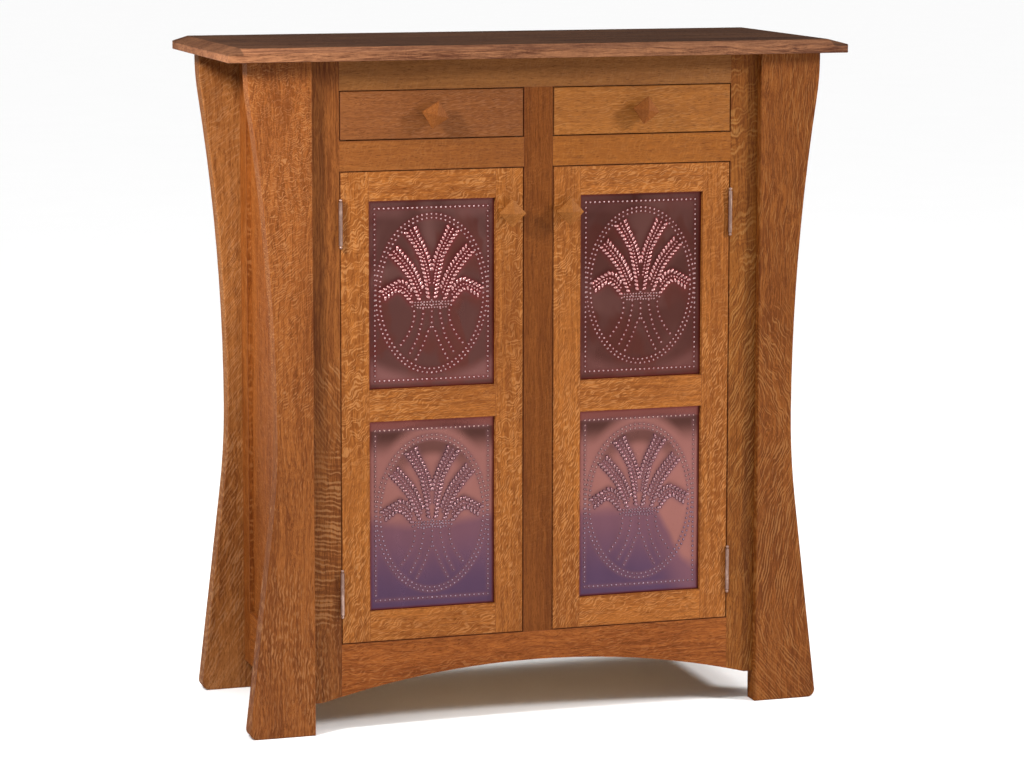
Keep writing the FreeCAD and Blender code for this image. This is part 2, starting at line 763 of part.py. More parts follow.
def make_shelf():
    board(
        "shelf",
        both_ways("(%s - Sizes.shelf_play)" % SIDE_IN),
        (plus(SIDE_FRONT, "Sizes.shelf_front_gap"), minus(SIDE_BACK, "Sizes.shelf_play")),
        ("Sizes.shelf_height", "Sizes.shelf_height + Sizes.shelf_thickness"),
    )
    length = "Sizes.pin_reach + Sizes.pin_hole_depth"
    pins = []
    for hand, side in SIDES.items():
        x_range = across(side, minus(SIDE_IN, "Sizes.pin_reach"), plus(SIDE_IN, "Sizes.pin_hole_depth"))
        for end, stile_mid in (
            ("front", "(%s + Sizes.side_stile_width / 2)" % SIDE_FRONT),
            ("back", "(%s - Sizes.side_stile_width / 2)" % SIDE_BACK),
        ):
            name = "pin_%s_%s" % (hand, end)
            start = (x_range[0], stile_mid, PIN_Z)
            pins.append(part_rod(name, "x", "Sizes.pin_radius", start, length))
    group("shelf_pins", pins)


# ---------------------------------------------------------------------------------------------
# Knobs
# ---------------------------------------------------------------------------------------------


def make_knob(name, x, face_y, z, turn):
    """A knob whose neck stands on a face at face_y and points to the front."""
    knob = Piece(name, (x, face_y, z))
    knob.body.Placement.Rotation = Rotation(Vector(0, 1, 0), 1)
    knob.body.setExpression("Placement.Rotation.Angle", turn)

    spigot = knob.feature("AdditiveCylinder")
    spigot.Placement = Placement(Vector(), Rotation(Vector(1, 0, 0), -90))
    spigot.setExpression("Radius", "Sizes.knob_spigot_radius")
    spigot.setExpression("Height", "Sizes.knob_spigot_length")

    neck = knob.feature("AdditiveCylinder")
    neck.Placement = Placement(Vector(), Rotation(Vector(1, 0, 0), 90))
    neck.setExpression("Radius", "Sizes.knob_neck_radius")
    neck.setExpression("Height", "Sizes.knob_neck_length")

    # Each layer is a square frustum: how far it stands off, its depth, and its two sides
    half_back = "Sizes.knob_back_side / 2"
    half = "Sizes.knob_side / 2"
    edge_off = "Sizes.knob_neck_length + Sizes.knob_back_bevel"
    for off, deep, near_half, far_half in (
        ("Sizes.knob_neck_length", "Sizes.knob_back_bevel", half_back, half),
        (edge_off, "Sizes.knob_edge", half, half),
        (edge_off + " + Sizes.knob_edge", "Sizes.knob_point", half, "0"),
    ):
        layer = knob.feature("AdditiveWedge")
        layer.Placement = Placement(Vector(), Rotation(Vector(0, 0, 1), 180))
        layer.setExpression("Ymin", off)
        layer.setExpression("Ymax", "%s + %s" % (off, deep))
        for axis in "XZ":
            layer.setExpression(axis + "min", "-(%s)" % near_half)
            layer.setExpression(axis + "max", near_half)
            layer.setExpression(axis + "2min", "-(%s)" % far_half)
            layer.setExpression(axis + "2max", far_half)

    corner = size("knob_side") / 2

    def square_edge(edge):
        """The four short corners of the square block."""
        at = middle_of(edge)
        return near(abs(at.x), corner) and near(abs(at.z), corner)

    knob.ease("Sizes.knob_arris", square_edge)


def knob_hole(piece, x, y, z):
    """The hole that a knob's spigot is glued in."""
    radius = "Sizes.knob_spigot_radius + Sizes.knob_fit"
    depth = "Sizes.knob_spigot_length + Sizes.knob_fit"
    piece.bore("y", radius, (x, y, z), depth)


# ---------------------------------------------------------------------------------------------
# Drawers
# ---------------------------------------------------------------------------------------------


def make_drawer(hand):
    side = SIDES[hand]
    name = "drawer_%s_" % hand
    gap = "Sizes.drawer_gap"
    inner = "(%s + %s)" % (OPENING_IN, gap)
    outer = "(%s - %s)" % (OPENING_OUT, gap)
    wood = "Sizes.drawer_side_thickness"
    front_back = "(%s + Sizes.drawer_front_thickness)" % FRAME_FRONT
    lap_y = "(%s + Sizes.drawer_lap)" % FRAME_FRONT
    box_back = "(%s - Sizes.drawer_stop_gap)" % BACK_RAIL_FRONT
    bottom_z = (
        "%s + Sizes.drawer_bottom_lift" % DRAWER_BOX_FOOT,
        "%s + Sizes.drawer_bottom_lift + Sizes.drawer_bottom_thickness" % DRAWER_BOX_FOOT,
    )
    groove_x = (
        "%s + %s - Sizes.drawer_groove" % (inner, wood),
        "%s - %s + Sizes.drawer_groove" % (outer, wood),
    )
    front_z = (plus(DRAWERS_FOOT, gap), minus(DRAWERS_HEAD, gap))

    front = board(name + "front", across(side, inner, outer), (FRAME_FRONT, front_back), front_z)
    front.ease("Sizes.drawer_arris", lambda edge: near(middle_of(edge).y, 0))
    for near_x, far_x in ((inner, plus(inner, wood)), (minus(outer, wood), outer)):
        front.cut(across(side, near_x, far_x), (lap_y, front_back), (front_z[0], DRAWER_BOX_HEAD))
    groove_y = (minus(front_back, "Sizes.drawer_groove"), front_back)
    front.cut(across(side, *groove_x), groove_y, bottom_z)
    middle_z = "((%s) + (%s)) / 2" % (DRAWERS_FOOT, DRAWERS_HEAD)
    middle_x = across(side, OPENING_MID, OPENING_MID)[0]
    knob_hole(front, middle_x, FRAME_FRONT, middle_z)

    sides = []
    for place, near_x, far_x in (("inner", inner, plus(inner, wood)), ("outer", minus(outer, wood), outer)):
        plank_z = (DRAWER_BOX_FOOT, DRAWER_BOX_HEAD)
        plank = part_box(name + place, across(side, near_x, far_x), (lap_y, box_back), plank_z)
        groove = part_box(
            name + place + "_groove", across(side, *groove_x), (lap_y, box_back), bottom_z
        )
        sides.append(less(name + place + "_side", plank, [groove]))
    group(name + "sides", sides)

    inside_x = across(side, plus(inner, wood), minus(outer, wood))
    board(name + "back", inside_x, (minus(box_back, wood), box_back), (bottom_z[1], DRAWER_BOX_HEAD))
    board(name + "bottom", across(side, *groove_x), (groove_y[0], box_back), bottom_z)
    make_knob(name + "knob", middle_x, FRAME_FRONT, middle_z, "Sizes.drawer_%s_turn" % hand)


# ---------------------------------------------------------------------------------------------
# Doors
# ---------------------------------------------------------------------------------------------

DOOR_IN = "(%s + Sizes.door_gap)" % OPENING_IN
DOOR_OUT = "(%s - Sizes.door_gap)" % OPENING_OUT
DOOR_FOOT = "(%s + Sizes.door_gap)" % DOORWAY_FOOT
DOOR_HEAD = "(%s - Sizes.door_gap)" % DOORWAY_HEAD
DOOR_BACK = "(%s - Sizes.door_seat_gap)" % FRAME_BACK
DOOR_Y = (FRAME_FRONT, DOOR_BACK)
DOOR_SIGHT_IN = "(%s + Sizes.door_stile_width)" % DOOR_IN
DOOR_SIGHT_OUT = "(%s - Sizes.door_stile_width)" % DOOR_OUT
COPPER_FRONT = "(%s + Sizes.copper_setback)" % FRAME_FRONT
COPPER_Y = (COPPER_FRONT, plus(COPPER_FRONT, "Sizes.copper_thickness"))
COPPER_X = widened((DOOR_SIGHT_IN, DOOR_SIGHT_OUT), "Sizes.copper_tuck")
DOOR_TENON_Y = about("(%s + Sizes.copper_thickness / 2)" % COPPER_FRONT, "Sizes.tenon_thickness")
LOWER_SIGHT = (
    "(%s + Sizes.door_bottom_rail)" % DOOR_FOOT,
    "(%s + Sizes.door_bottom_rail + Sizes.door_lower_sight)" % DOOR_FOOT,
)
UPPER_SIGHT = (
    "(%s + Sizes.door_mid_rail)" % LOWER_SIGHT[1],
    "(%s - Sizes.door_top_rail)" % DOOR_HEAD,
)
SIGHTS = {"lower": LOWER_SIGHT, "upper": UPPER_SIGHT}
DOOR_RAILS = {
    "bottom": (DOOR_FOOT, LOWER_SIGHT[0]),
    "mid": (LOWER_SIGHT[1], UPPER_SIGHT[0]),
    "top": (UPPER_SIGHT[1], DOOR_HEAD),
}


def copper_z(sight):
    return widened(SIGHTS[sight], "Sizes.copper_tuck")


def door_tenon(rail):
    """The height of a door rail's tenon, clear of the copper's grooves."""
    low, high = DOOR_RAILS[rail]
    shoulder = "Sizes.copper_tuck + Sizes.tenon_shoulder / 2"
    return ("(%s) + (%s)" % (low, shoulder), "(%s) - (%s)" % (high, shoulder))


def make_door(hand):
    side = SIDES[hand]
    name = "door_%s_" % hand
    door_z = (DOOR_FOOT, DOOR_HEAD)
    sight_x = across(side, DOOR_SIGHT_IN, DOOR_SIGHT_OUT)
    stiles = {
        "lock_stile": (DOOR_IN, DOOR_SIGHT_IN),
        "hinge_stile": (DOOR_SIGHT_OUT, DOOR_OUT),
    }
    tenons = {
        "lock_stile": (minus(DOOR_SIGHT_IN, "Sizes.tenon_length"), DOOR_SIGHT_IN),
        "hinge_stile": (DOOR_SIGHT_OUT, plus(DOOR_SIGHT_OUT, "Sizes.tenon_length")),
    }
    grooves = {
        "lock_stile": (COPPER_X[0], DOOR_SIGHT_IN),
        "hinge_stile": (DOOR_SIGHT_OUT, COPPER_X[1]),
    }
    knob_x = across(side, "(%s + %s) / 2" % (DOOR_IN, DOOR_SIGHT_IN), "0")[0 if side > 0 else 1]
    knob_z = "%s - Sizes.door_knob_drop" % DOOR_HEAD

    for part, reach in stiles.items():
        stile = board(name + part, across(side, *reach), DOOR_Y, door_z)
        outer_x = 0 if (part == "lock_stile") == (side > 0) else size("door_stile_width")

        def outer_arris(edge):
            upright = near(edge.Vertexes[0].X, edge.Vertexes[-1].X)
            return upright and near(middle_of(edge).y, 0) and near(middle_of(edge).x, outer_x)

        stile.ease("Sizes.door_arris", outer_arris)
        for rail in DOOR_RAILS:
            stile.cut(across(side, *tenons[part]), DOOR_TENON_Y, door_tenon(rail))
        for sight in SIGHTS:
            stile.cut(across(side, *grooves[part]), COPPER_Y, copper_z(sight))
        if part == "lock_stile":
            knob_hole(stile, knob_x, FRAME_FRONT, knob_z)
        else:
            for end in ("lower", "upper"):
                hinge_mortise(stile, side, end, "door")

    for rail, rail_z in DOOR_RAILS.items():
        piece = board(name + rail + "_rail", sight_x, DOOR_Y, rail_z)
        for tenon_x in tenons.values():
            piece.add(across(side, *tenon_x), DOOR_TENON_Y, door_tenon(rail))
        if rail != "top":
            piece.cut(sight_x, COPPER_Y, (minus(rail_z[1], "Sizes.copper_tuck"), rail_z[1]))
        if rail != "bottom":
            piece.cut(sight_x, COPPER_Y, (rail_z[0], plus(rail_z[0], "Sizes.copper_tuck")))

    for sight in SIGHTS:
        board(name + "copper_" + sight, across(side, *COPPER_X), COPPER_Y, copper_z(sight))

    make_knob(name + "knob", knob_x, FRAME_FRONT, knob_z, "Sizes.door_%s_turn" % hand)
    leaves = [hinge_leaf(hand, end, "door") for end in ("lower", "upper")]
    group(name + "hinge_leaves", [solid for leaf in leaves for solid in leaf])


# ---------------------------------------------------------------------------------------------
# Hinges
# ---------------------------------------------------------------------------------------------

HINGE_X = "(%s - Sizes.door_gap / 2)" % OPENING_OUT
HINGE_Y = "(%s - Sizes.hinge_barrel_radius - Sizes.hinge_barrel_clear)" % FRAME_FRONT
HINGE_LEAF_Y = (FRAME_FRONT, "%s + Sizes.hinge_leaf_width" % FRAME_FRONT)
HINGE_MIDDLES = {
    "lower": "(%s + Sizes.hinge_from_end)" % DOOR_FOOT,
    "upper": "(%s - Sizes.hinge_from_end)" % DOOR_HEAD,
}
LEAF_X = {
    "frame": (
        "%s + Sizes.hinge_leaf_gap / 2" % HINGE_X,
        "%s + Sizes.hinge_leaf_gap / 2 + Sizes.hinge_leaf_thickness" % HINGE_X,
    ),
    "door": (
        "%s - Sizes.hinge_leaf_gap / 2 - Sizes.hinge_leaf_thickness" % HINGE_X,
        "%s - Sizes.hinge_leaf_gap / 2" % HINGE_X,
    ),
}
SCREW_Y = "(%s + Sizes.hinge_leaf_width / 2)" % FRAME_FRONT


def hinge_span(end):
    return about(HINGE_MIDDLES[end], "Sizes.hinge_height")


def screw_places(end):
    low = hinge_span(end)[0]
    return ["%s + %g * Sizes.hinge_height" % (low, share) for share in SCREW_PLACES]


def screw_run(side, fixed_to):
    """Where a leaf's screws start and end: from the leaf's bare face into the wood."""
    if fixed_to == "frame":
        return across(side, LEAF_X["frame"][0], plus(LEAF_X["frame"][0], "Sizes.screw_length"))
    return across(side, minus(LEAF_X["door"][1], "Sizes.screw_length"), LEAF_X["door"][1])


def hinge_mortise(stile, side, end, fixed_to):
    """Lets a leaf into the edge of a stile, and drills for its screws."""
    if fixed_to == "frame":
        bed = (OPENING_OUT, LEAF_X["frame"][1])
    else:
        bed = (LEAF_X["door"][0], DOOR_OUT)
    stile.cut(across(side, *bed), HINGE_LEAF_Y, hinge_span(end))
    radius = "Sizes.screw_shank_radius + Sizes.screw_fit"
    start_x = screw_run(side, fixed_to)[0]
    for z in screw_places(end):
        stile.bore("x", radius, (start_x, SCREW_Y, z), "Sizes.screw_length")


def hinge_leaf(hand, end, fixed_to):
    """One leaf with its own knuckles, and its three screws, as a list of solids."""
    side = SIDES[hand]
    name = "%s_%s_%s" % (fixed_to, hand, end)
    axis_x = across(side, HINGE_X, HINGE_X)[0]
    low, high = hinge_span(end)
    leaf_x = across(side, *LEAF_X[fixed_to])
    metal = [part_box(name + "_plate", leaf_x, HINGE_LEAF_Y, (low, high))]
    first = 0 if fixed_to == "frame" else 1
    play = "Sizes.hinge_knuckle_play / 2"
    for knuckle in range(first, KNUCKLES, 2):
        tag = "%s_knuckle_%d" % (name, knuckle)
        foot = "%s + %d * Sizes.hinge_height / %d + %s" % (low, knuckle, KNUCKLES, play)
        head = "%s + %d * Sizes.hinge_height / %d - %s" % (low, knuckle + 1, KNUCKLES, play)
        centre = (axis_x, HINGE_Y, foot)
        metal.append(part_box(tag + "_web", leaf_x, (HINGE_Y, FRAME_FRONT), (foot, head)))
        metal.append(part_rod(tag, "z", "Sizes.hinge_barrel_radius", centre, minus(head, foot)))
    bore_radius = "Sizes.hinge_pin_radius + Sizes.hinge_bore_fit"
    holes = [part_rod(name + "_bore", "z", bore_radius, (axis_x, HINGE_Y, low), "Sizes.hinge_height")]
    screws = []
    leaf = "Sizes.hinge_leaf_thickness"
    start_x = screw_run(side, fixed_to)[0]
    for number, z in enumerate(screw_places(end)):
        tag = "%s_screw_%d" % (name, number)
        head_at = (leaf_x[0], SCREW_Y, z)
        shank_at = (start_x, SCREW_Y, z)
        head_hole = "Sizes.screw_head_radius + Sizes.screw_fit"
        holes.append(part_rod(tag + "_hole", "x", head_hole, head_at, leaf))
        head = part_rod(tag + "_head", "x", "Sizes.screw_head_radius", head_at, leaf)
        shank = part_rod(tag + "_shank", "x", "Sizes.screw_shank_radius", shank_at, "Sizes.screw_length")
        screws.append(fused(tag, [head, shank]))
    return [less(name + "_leaf", fused(name + "_metal", metal), holes)] + screws


def make_hinge_pins():
    """A pin through each pair of leaves, with a ball on each end."""
    pins = []
    for hand, side in SIDES.items():
        axis_x = across(side, HINGE_X, HINGE_X)[0]
        for end in ("lower", "upper"):
            name = "hinge_pin_%s_%s" % (hand, end)
            low, high = widened(hinge_span(end), "Sizes.hinge_tip_neck + Sizes.hinge_tip_radius")
            start = (axis_x, HINGE_Y, low)
            solids = [part_rod(name + "_rod", "z", "Sizes.hinge_pin_radius", start, minus(high, low))]
            for tip, tip_z in (("foot", low), ("head", high)):
                centre = (axis_x, HINGE_Y, tip_z)
                solids.append(part_ball(name + "_" + tip, "Sizes.hinge_tip_radius", centre))
            pins.append(fused(name, solids))
    group("hinge_pins", pins)


def make_frame_leaves():
    leaves = [hinge_leaf(hand, end, "frame") for hand in SIDES for end in ("lower", "upper")]
    group("hinge_frame_leaves", [solid for leaf in leaves for solid in leaf])


# ---------------------------------------------------------------------------------------------
# Catches
# ---------------------------------------------------------------------------------------------


def make_catches():
    """A magnet case behind each door's free upper corner, screwed to the mid rail's back."""
    cases = []
    low = "(%s - Sizes.catch_lap)" % DOORWAY_HEAD
    for hand, side in SIDES.items():
        near_x = OPENING_IN
        x_range = across(side, near_x, plus(near_x, "Sizes.catch_width"))
        y_range = (FRAME_BACK, plus(FRAME_BACK, "Sizes.catch_depth"))
        z_range = (low, plus(low, "Sizes.catch_height"))
        cases.append(part_box("catch_" + hand, x_range, y_range, z_range))
    group("door_catches", cases)


# ---------------------------------------------------------------------------------------------
# The whole, checked and written
# ---------------------------------------------------------------------------------------------

make_top()
for row in ("front", "back"):
    for hand in SIDES:
        make_post(row, hand)
for hand in SIDES:
    make_outer_stile(hand)
make_centre_stile()
make_top_rail()
for hand in SIDES:
    make_mid_rail(hand)
make_bottom_rail()
for hand in SIDES:
    make_side(hand)
make_back()
make_level("cupboard_floor", minus(DOORWAY_FOOT, "Sizes.floor_thickness"), DOORWAY_FOOT)
make_level("drawer_deck", DECK_FOOT, DRAWERS_FOOT)
make_guides()
make_shelf()
for hand in SIDES:
    make_drawer(hand)
for hand in SIDES:
    make_door(hand)
make_frame_leaves()
make_hinge_pins()
make_catches()
doc.recompute()

for item in doc.Objects:
    if "Invalid" in item.State or "Error" in item.State:
        raise RuntimeError("%s did not build: %s" % (item.Label, item.State))
for node in nodes:
    if node.Shape.isNull() or not node.Shape.isValid() or not node.Shape.Solids:
        raise RuntimeError("%s has no valid solid" % node.Label)

os.makedirs("parts", exist_ok=True)
for node in nodes:
    node.Shape.exportStep(os.path.join("parts", node.Label + ".step"))
    print("%-26s %3d solid(s) %10.1f mm3" % (node.Label, len(node.Shape.Solids), node.Shape.Volume))
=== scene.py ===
import json
import math

import bmesh
import bpy
import numpy as np
from bpy.props import FloatProperty, FloatVectorProperty, IntProperty, PointerProperty
from mathutils import Matrix, Vector


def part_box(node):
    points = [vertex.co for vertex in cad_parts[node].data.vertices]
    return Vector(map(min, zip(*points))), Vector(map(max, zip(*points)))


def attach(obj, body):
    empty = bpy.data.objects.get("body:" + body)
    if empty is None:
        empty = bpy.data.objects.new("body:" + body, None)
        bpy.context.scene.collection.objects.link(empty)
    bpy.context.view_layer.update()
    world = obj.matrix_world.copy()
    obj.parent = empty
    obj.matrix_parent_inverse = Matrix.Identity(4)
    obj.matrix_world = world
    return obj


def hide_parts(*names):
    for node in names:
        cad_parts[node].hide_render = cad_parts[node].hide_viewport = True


# Dresses a pie safe in stained quarter-sawn oak and punched copper. Metres; the doors face -Y.

bl_info = {
    "name": "Pie Safe Finishes",
    "version": (1, 0, 0),
    "blender": (4, 5, 0),
    "location": "3D View > Sidebar > Pie Safe",
    "description": "Oak, punched copper and hinges for a pie safe with two drawers and two doors",
    "category": "Object",
}

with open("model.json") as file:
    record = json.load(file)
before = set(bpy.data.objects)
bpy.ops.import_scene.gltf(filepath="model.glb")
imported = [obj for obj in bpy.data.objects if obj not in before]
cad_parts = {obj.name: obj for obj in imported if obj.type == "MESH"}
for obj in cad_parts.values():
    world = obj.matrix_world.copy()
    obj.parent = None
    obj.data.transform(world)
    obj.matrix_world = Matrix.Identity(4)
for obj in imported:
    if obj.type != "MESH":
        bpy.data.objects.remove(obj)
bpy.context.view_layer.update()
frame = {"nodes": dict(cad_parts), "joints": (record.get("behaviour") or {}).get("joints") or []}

HANDS = ("left", "right")
SIDE_OF = {"left": -1, "right": 1}


# ---- Settings ----


def colour(name, description, default):
    return FloatVectorProperty(
        name=name, description=description, default=default, size=3, min=0, max=1, subtype="COLOR"
    )


def length(name, description, default):
    return FloatProperty(
        name=name, description=description, default=default,
        min=0, precision=4, unit="LENGTH", subtype="DISTANCE",
    )


def share(name, description, default, most=1):
    return FloatProperty(
        name=name, description=description, default=default, min=0, max=most, subtype="FACTOR"
    )


class OakSettings(bpy.types.PropertyGroup):
    """Colours and sheen of the oak."""

    case_light: colour("Case, light", "Stained oak between the case's growth lines", (0.258, 0.075, 0.013))
    case_dark: colour("Case, dark", "Growth lines of the case", (0.118, 0.0275, 0.004))
    case_fleck: colour("Case, fleck", "Ray fleck of the case", (0.35, 0.142, 0.044))
    door_light: colour("Doors, light", "Stained oak of the doors and drawers", (0.322, 0.106, 0.0185))
    door_dark: colour("Doors, dark", "Growth lines of the doors and drawers", (0.17, 0.0475, 0.0075))
    door_fleck: colour("Doors, fleck", "Ray fleck of the doors and drawers", (0.42, 0.182, 0.058))
    top_light: colour("Top, light", "Stained oak of the top", (0.275, 0.116, 0.052))
    top_dark: colour("Top, dark", "Growth lines of the top", (0.070, 0.021, 0.009))
    top_fleck: colour("Top, fleck", "Ray fleck of the top", (0.34, 0.15, 0.07))
    # Painted shade on the top: its flat face keeps only a share of its colour, and its end bevels are darker,
    # partly stain taken up by the end grain and partly painted shade.
    top_flat: share("Top, flat", "Share of its colour that the top keeps on its flat face", 0.29)
    end_bevel: length("End bevel", "Width of the darker bevel at each end of the top", 0.0285)
    inner_light: colour("Inside, light", "Bare wood inside the case and drawers", (0.62, 0.43, 0.25))
    inner_dark: colour("Inside, dark", "Growth lines of the bare wood", (0.42, 0.26, 0.13))
    inner_fleck: colour("Inside, fleck", "Ray fleck of the bare wood", (0.70, 0.52, 0.33))
    pore: colour("Pores", "Stain gathered in the pores", (0.055, 0.016, 0.006))
    joint: colour("Joints", "Stain gathered along joints and arrises", (0.090, 0.021, 0.008))
    joint_width: length("Joint width", "How far the darker line runs in from a board's edge", 0.0014)
    roughness: share("Roughness", "Roughness of the finish on the oak", 0.40)
    finish: share("Finish", "How much of the clear finish fills the grain", 0.22)
    bump: share("Pore depth", "Strength of the pores' relief", 0.30)


class CopperSettings(bpy.types.PropertyGroup):
    """Patina of the sheets and sizes of the punch marks."""

    upper: colour("Upper sheets", "Dark patina of the upper sheets", (0.102, 0.038, 0.032))
    upper_rubbed: colour("Upper, rubbed", "Rubbed patches of the upper sheets", (0.175, 0.076, 0.066))
    # Painted sheen: a bright band at the foot of the upper sheets and under the head row's corners.
    upper_sheen: colour("Upper, sheen", "Bright band at the foot of the upper sheets", (0.2, 0.08, 0.072))
    upper_red: colour("Upper, reddened", "Redder patches of the upper sheets", (0.115, 0.030, 0.022))
    upper_right: colour("Upper, right hand", "Deeper shade of the right upper sheet", (0.06, 0.015, 0.01))
    # Painted shade between the upper sheets' grains, in dark red.
    upper_ears: colour("Upper, ears", "Dark red between the upper sheets' grains", (0.13, 0.017, 0.019))
    lower: colour("Lower sheets", "Rose copper at the head of the lower sheets", (0.275, 0.110, 0.093))
    lower_shade: colour("Lower, shade", "Dark shade under the head of the lower sheets", (0.08, 0.03, 0.024))
    # Painted shade between the lower sheets' grains, in mauve.
    lower_ears: colour("Lower, ears", "Mauve between the lower sheets' grains", (0.165, 0.068, 0.074))
    lower_waist: colour("Lower, waist", "Mauve heat tint below mid-height", (0.150, 0.064, 0.084))
    lower_foot: colour("Lower, foot", "Violet heat tint at the foot", (0.080, 0.041, 0.078))
    # The rim colour is painted: a dark red reflection of the door frame, and shade beside the frame.
    rim: colour("Rim", "Dark red tarnish beside the frame", (0.120, 0.018, 0.014))
    # The marks' colours on top are partly fresh copper and partly painted highlight.
    dot: colour("Dots", "Round marks of the upper sheets", (0.52, 0.38, 0.37))
    dot_lower: colour("Lower dots", "Round marks of the lower sheets", (0.47, 0.29, 0.24))
    dot_foot: colour("Lowest dots", "Round marks at the foot of the lower sheets", (0.34, 0.26, 0.34))
    grain: colour("Grains", "Fresh copper on the grains of the upper sheets", (0.66, 0.36, 0.345))
    grain_lower: colour("Lower grains", "Copper on the grains of the lower sheets", (0.38, 0.21, 0.21))
    # Painted shade at the foot and in the pit of each mark: dark red on the upper sheets, dark mauve on the
    # lower ones.
    foot: colour("Foot of marks", "Dark red where a mark leaves an upper sheet", (0.120, 0.022, 0.022))
    foot_lower: colour("Foot of lower marks", "Dark mauve where a lower mark starts", (0.08, 0.026, 0.038))
    relief: length("Relief", "How far a sheet swells towards the front", 0.0016)
    punch_rise: length("Punch rise", "How far the ears lift the sheet", 0.0007)
    dot_pitch: length("Dot pitch", "Distance between the round marks", 0.0087)
    seed_pitch: length("Seed pitch", "Distance between the small marks down the middle of an ear", 0.0056)
    bead_pitch: length("Bead pitch", "Distance between the beads that tie the ears", 0.0052)
    grain_pitch: length("Grain pitch", "Distance between the grains of an ear", 0.0070)
    dot_radius: length("Dot radius", "Radius of a round mark at the sheet", 0.0018)
    seed_radius: length("Seed radius", "Radius of a small mark at the sheet", 0.0017)
    grain_radius: length("Grain radius", "Half the width of a grain at the sheet", 0.0022)
    grain_stretch: FloatProperty(
        name="Grain stretch", description="Length of a grain over its width", default=2.0
    )
    dot_height: length("Dot height", "How far a round mark stands proud", 0.0013)
    grain_height: length("Grain height", "How far a grain stands proud", 0.0024)


class FittingSettings(bpy.types.PropertyGroup):
    """Finishes and screw sizes of the metal and plastic fittings."""

    hinge: colour("Hinges", "Antique bronze of the butt hinges", (0.27, 0.165, 0.130))
    hinge_rubbed: colour("Hinges, rubbed", "Bronze where the finish is rubbed through", (0.46, 0.31, 0.25))
    steel: colour("Pins", "Bright steel of the shelf pins", (0.62, 0.62, 0.63))
    plastic: colour("Catches", "Plastic of the magnetic catches", (0.05, 0.032, 0.022))
    screw_radius: length("Screw head", "Radius of a hinge screw's head", 0.0031)
    screw_rise: length("Screw rise", "How far a screw head stands proud of its leaf", 0.00008)
    slot_width: length("Screw slot", "Width of the slot in a screw head", 0.0008)
    slot_seed: IntProperty(name="Slot seed", description="Picks the angles of the slots", default=7)


class StageSettings(bpy.types.PropertyGroup):
    """Floor, light and camera."""

    floor: colour("Floor", "Pale studio floor", (0.98, 0.98, 0.98))
    zenith: share("Sky overhead", "Brightness of the soft light overhead", 1.9, 3)
    horizon: share("Sky at the horizon", "Brightness of the soft light near the horizon", 0.25, 3)
    key: FloatProperty(name="Key light", description="Power of the main soft box", default=195, unit="POWER")
    fill: FloatProperty(name="Fill light", description="Power of the small soft box", default=9, unit="POWER")
    camera: FloatVectorProperty(
        name="Camera", description="Place of the camera", default=(-1.88917, -5.96538, 1.55559),
        size=3, subtype="TRANSLATION", unit="LENGTH",
    )
    lens: FloatProperty(name="Lens", description="Focal length in mm", default=120.93, unit="CAMERA")


class PieSafeSettings(bpy.types.PropertyGroup):
    """All settings of the pie safe."""

    oak: PointerProperty(type=OakSettings)
    copper: PointerProperty(type=CopperSettings)
    fittings: PointerProperty(type=FittingSettings)
    stage: PointerProperty(type=StageSettings)


def settings():
    return bpy.context.scene.pie_safe


# ---- Node wiring ----


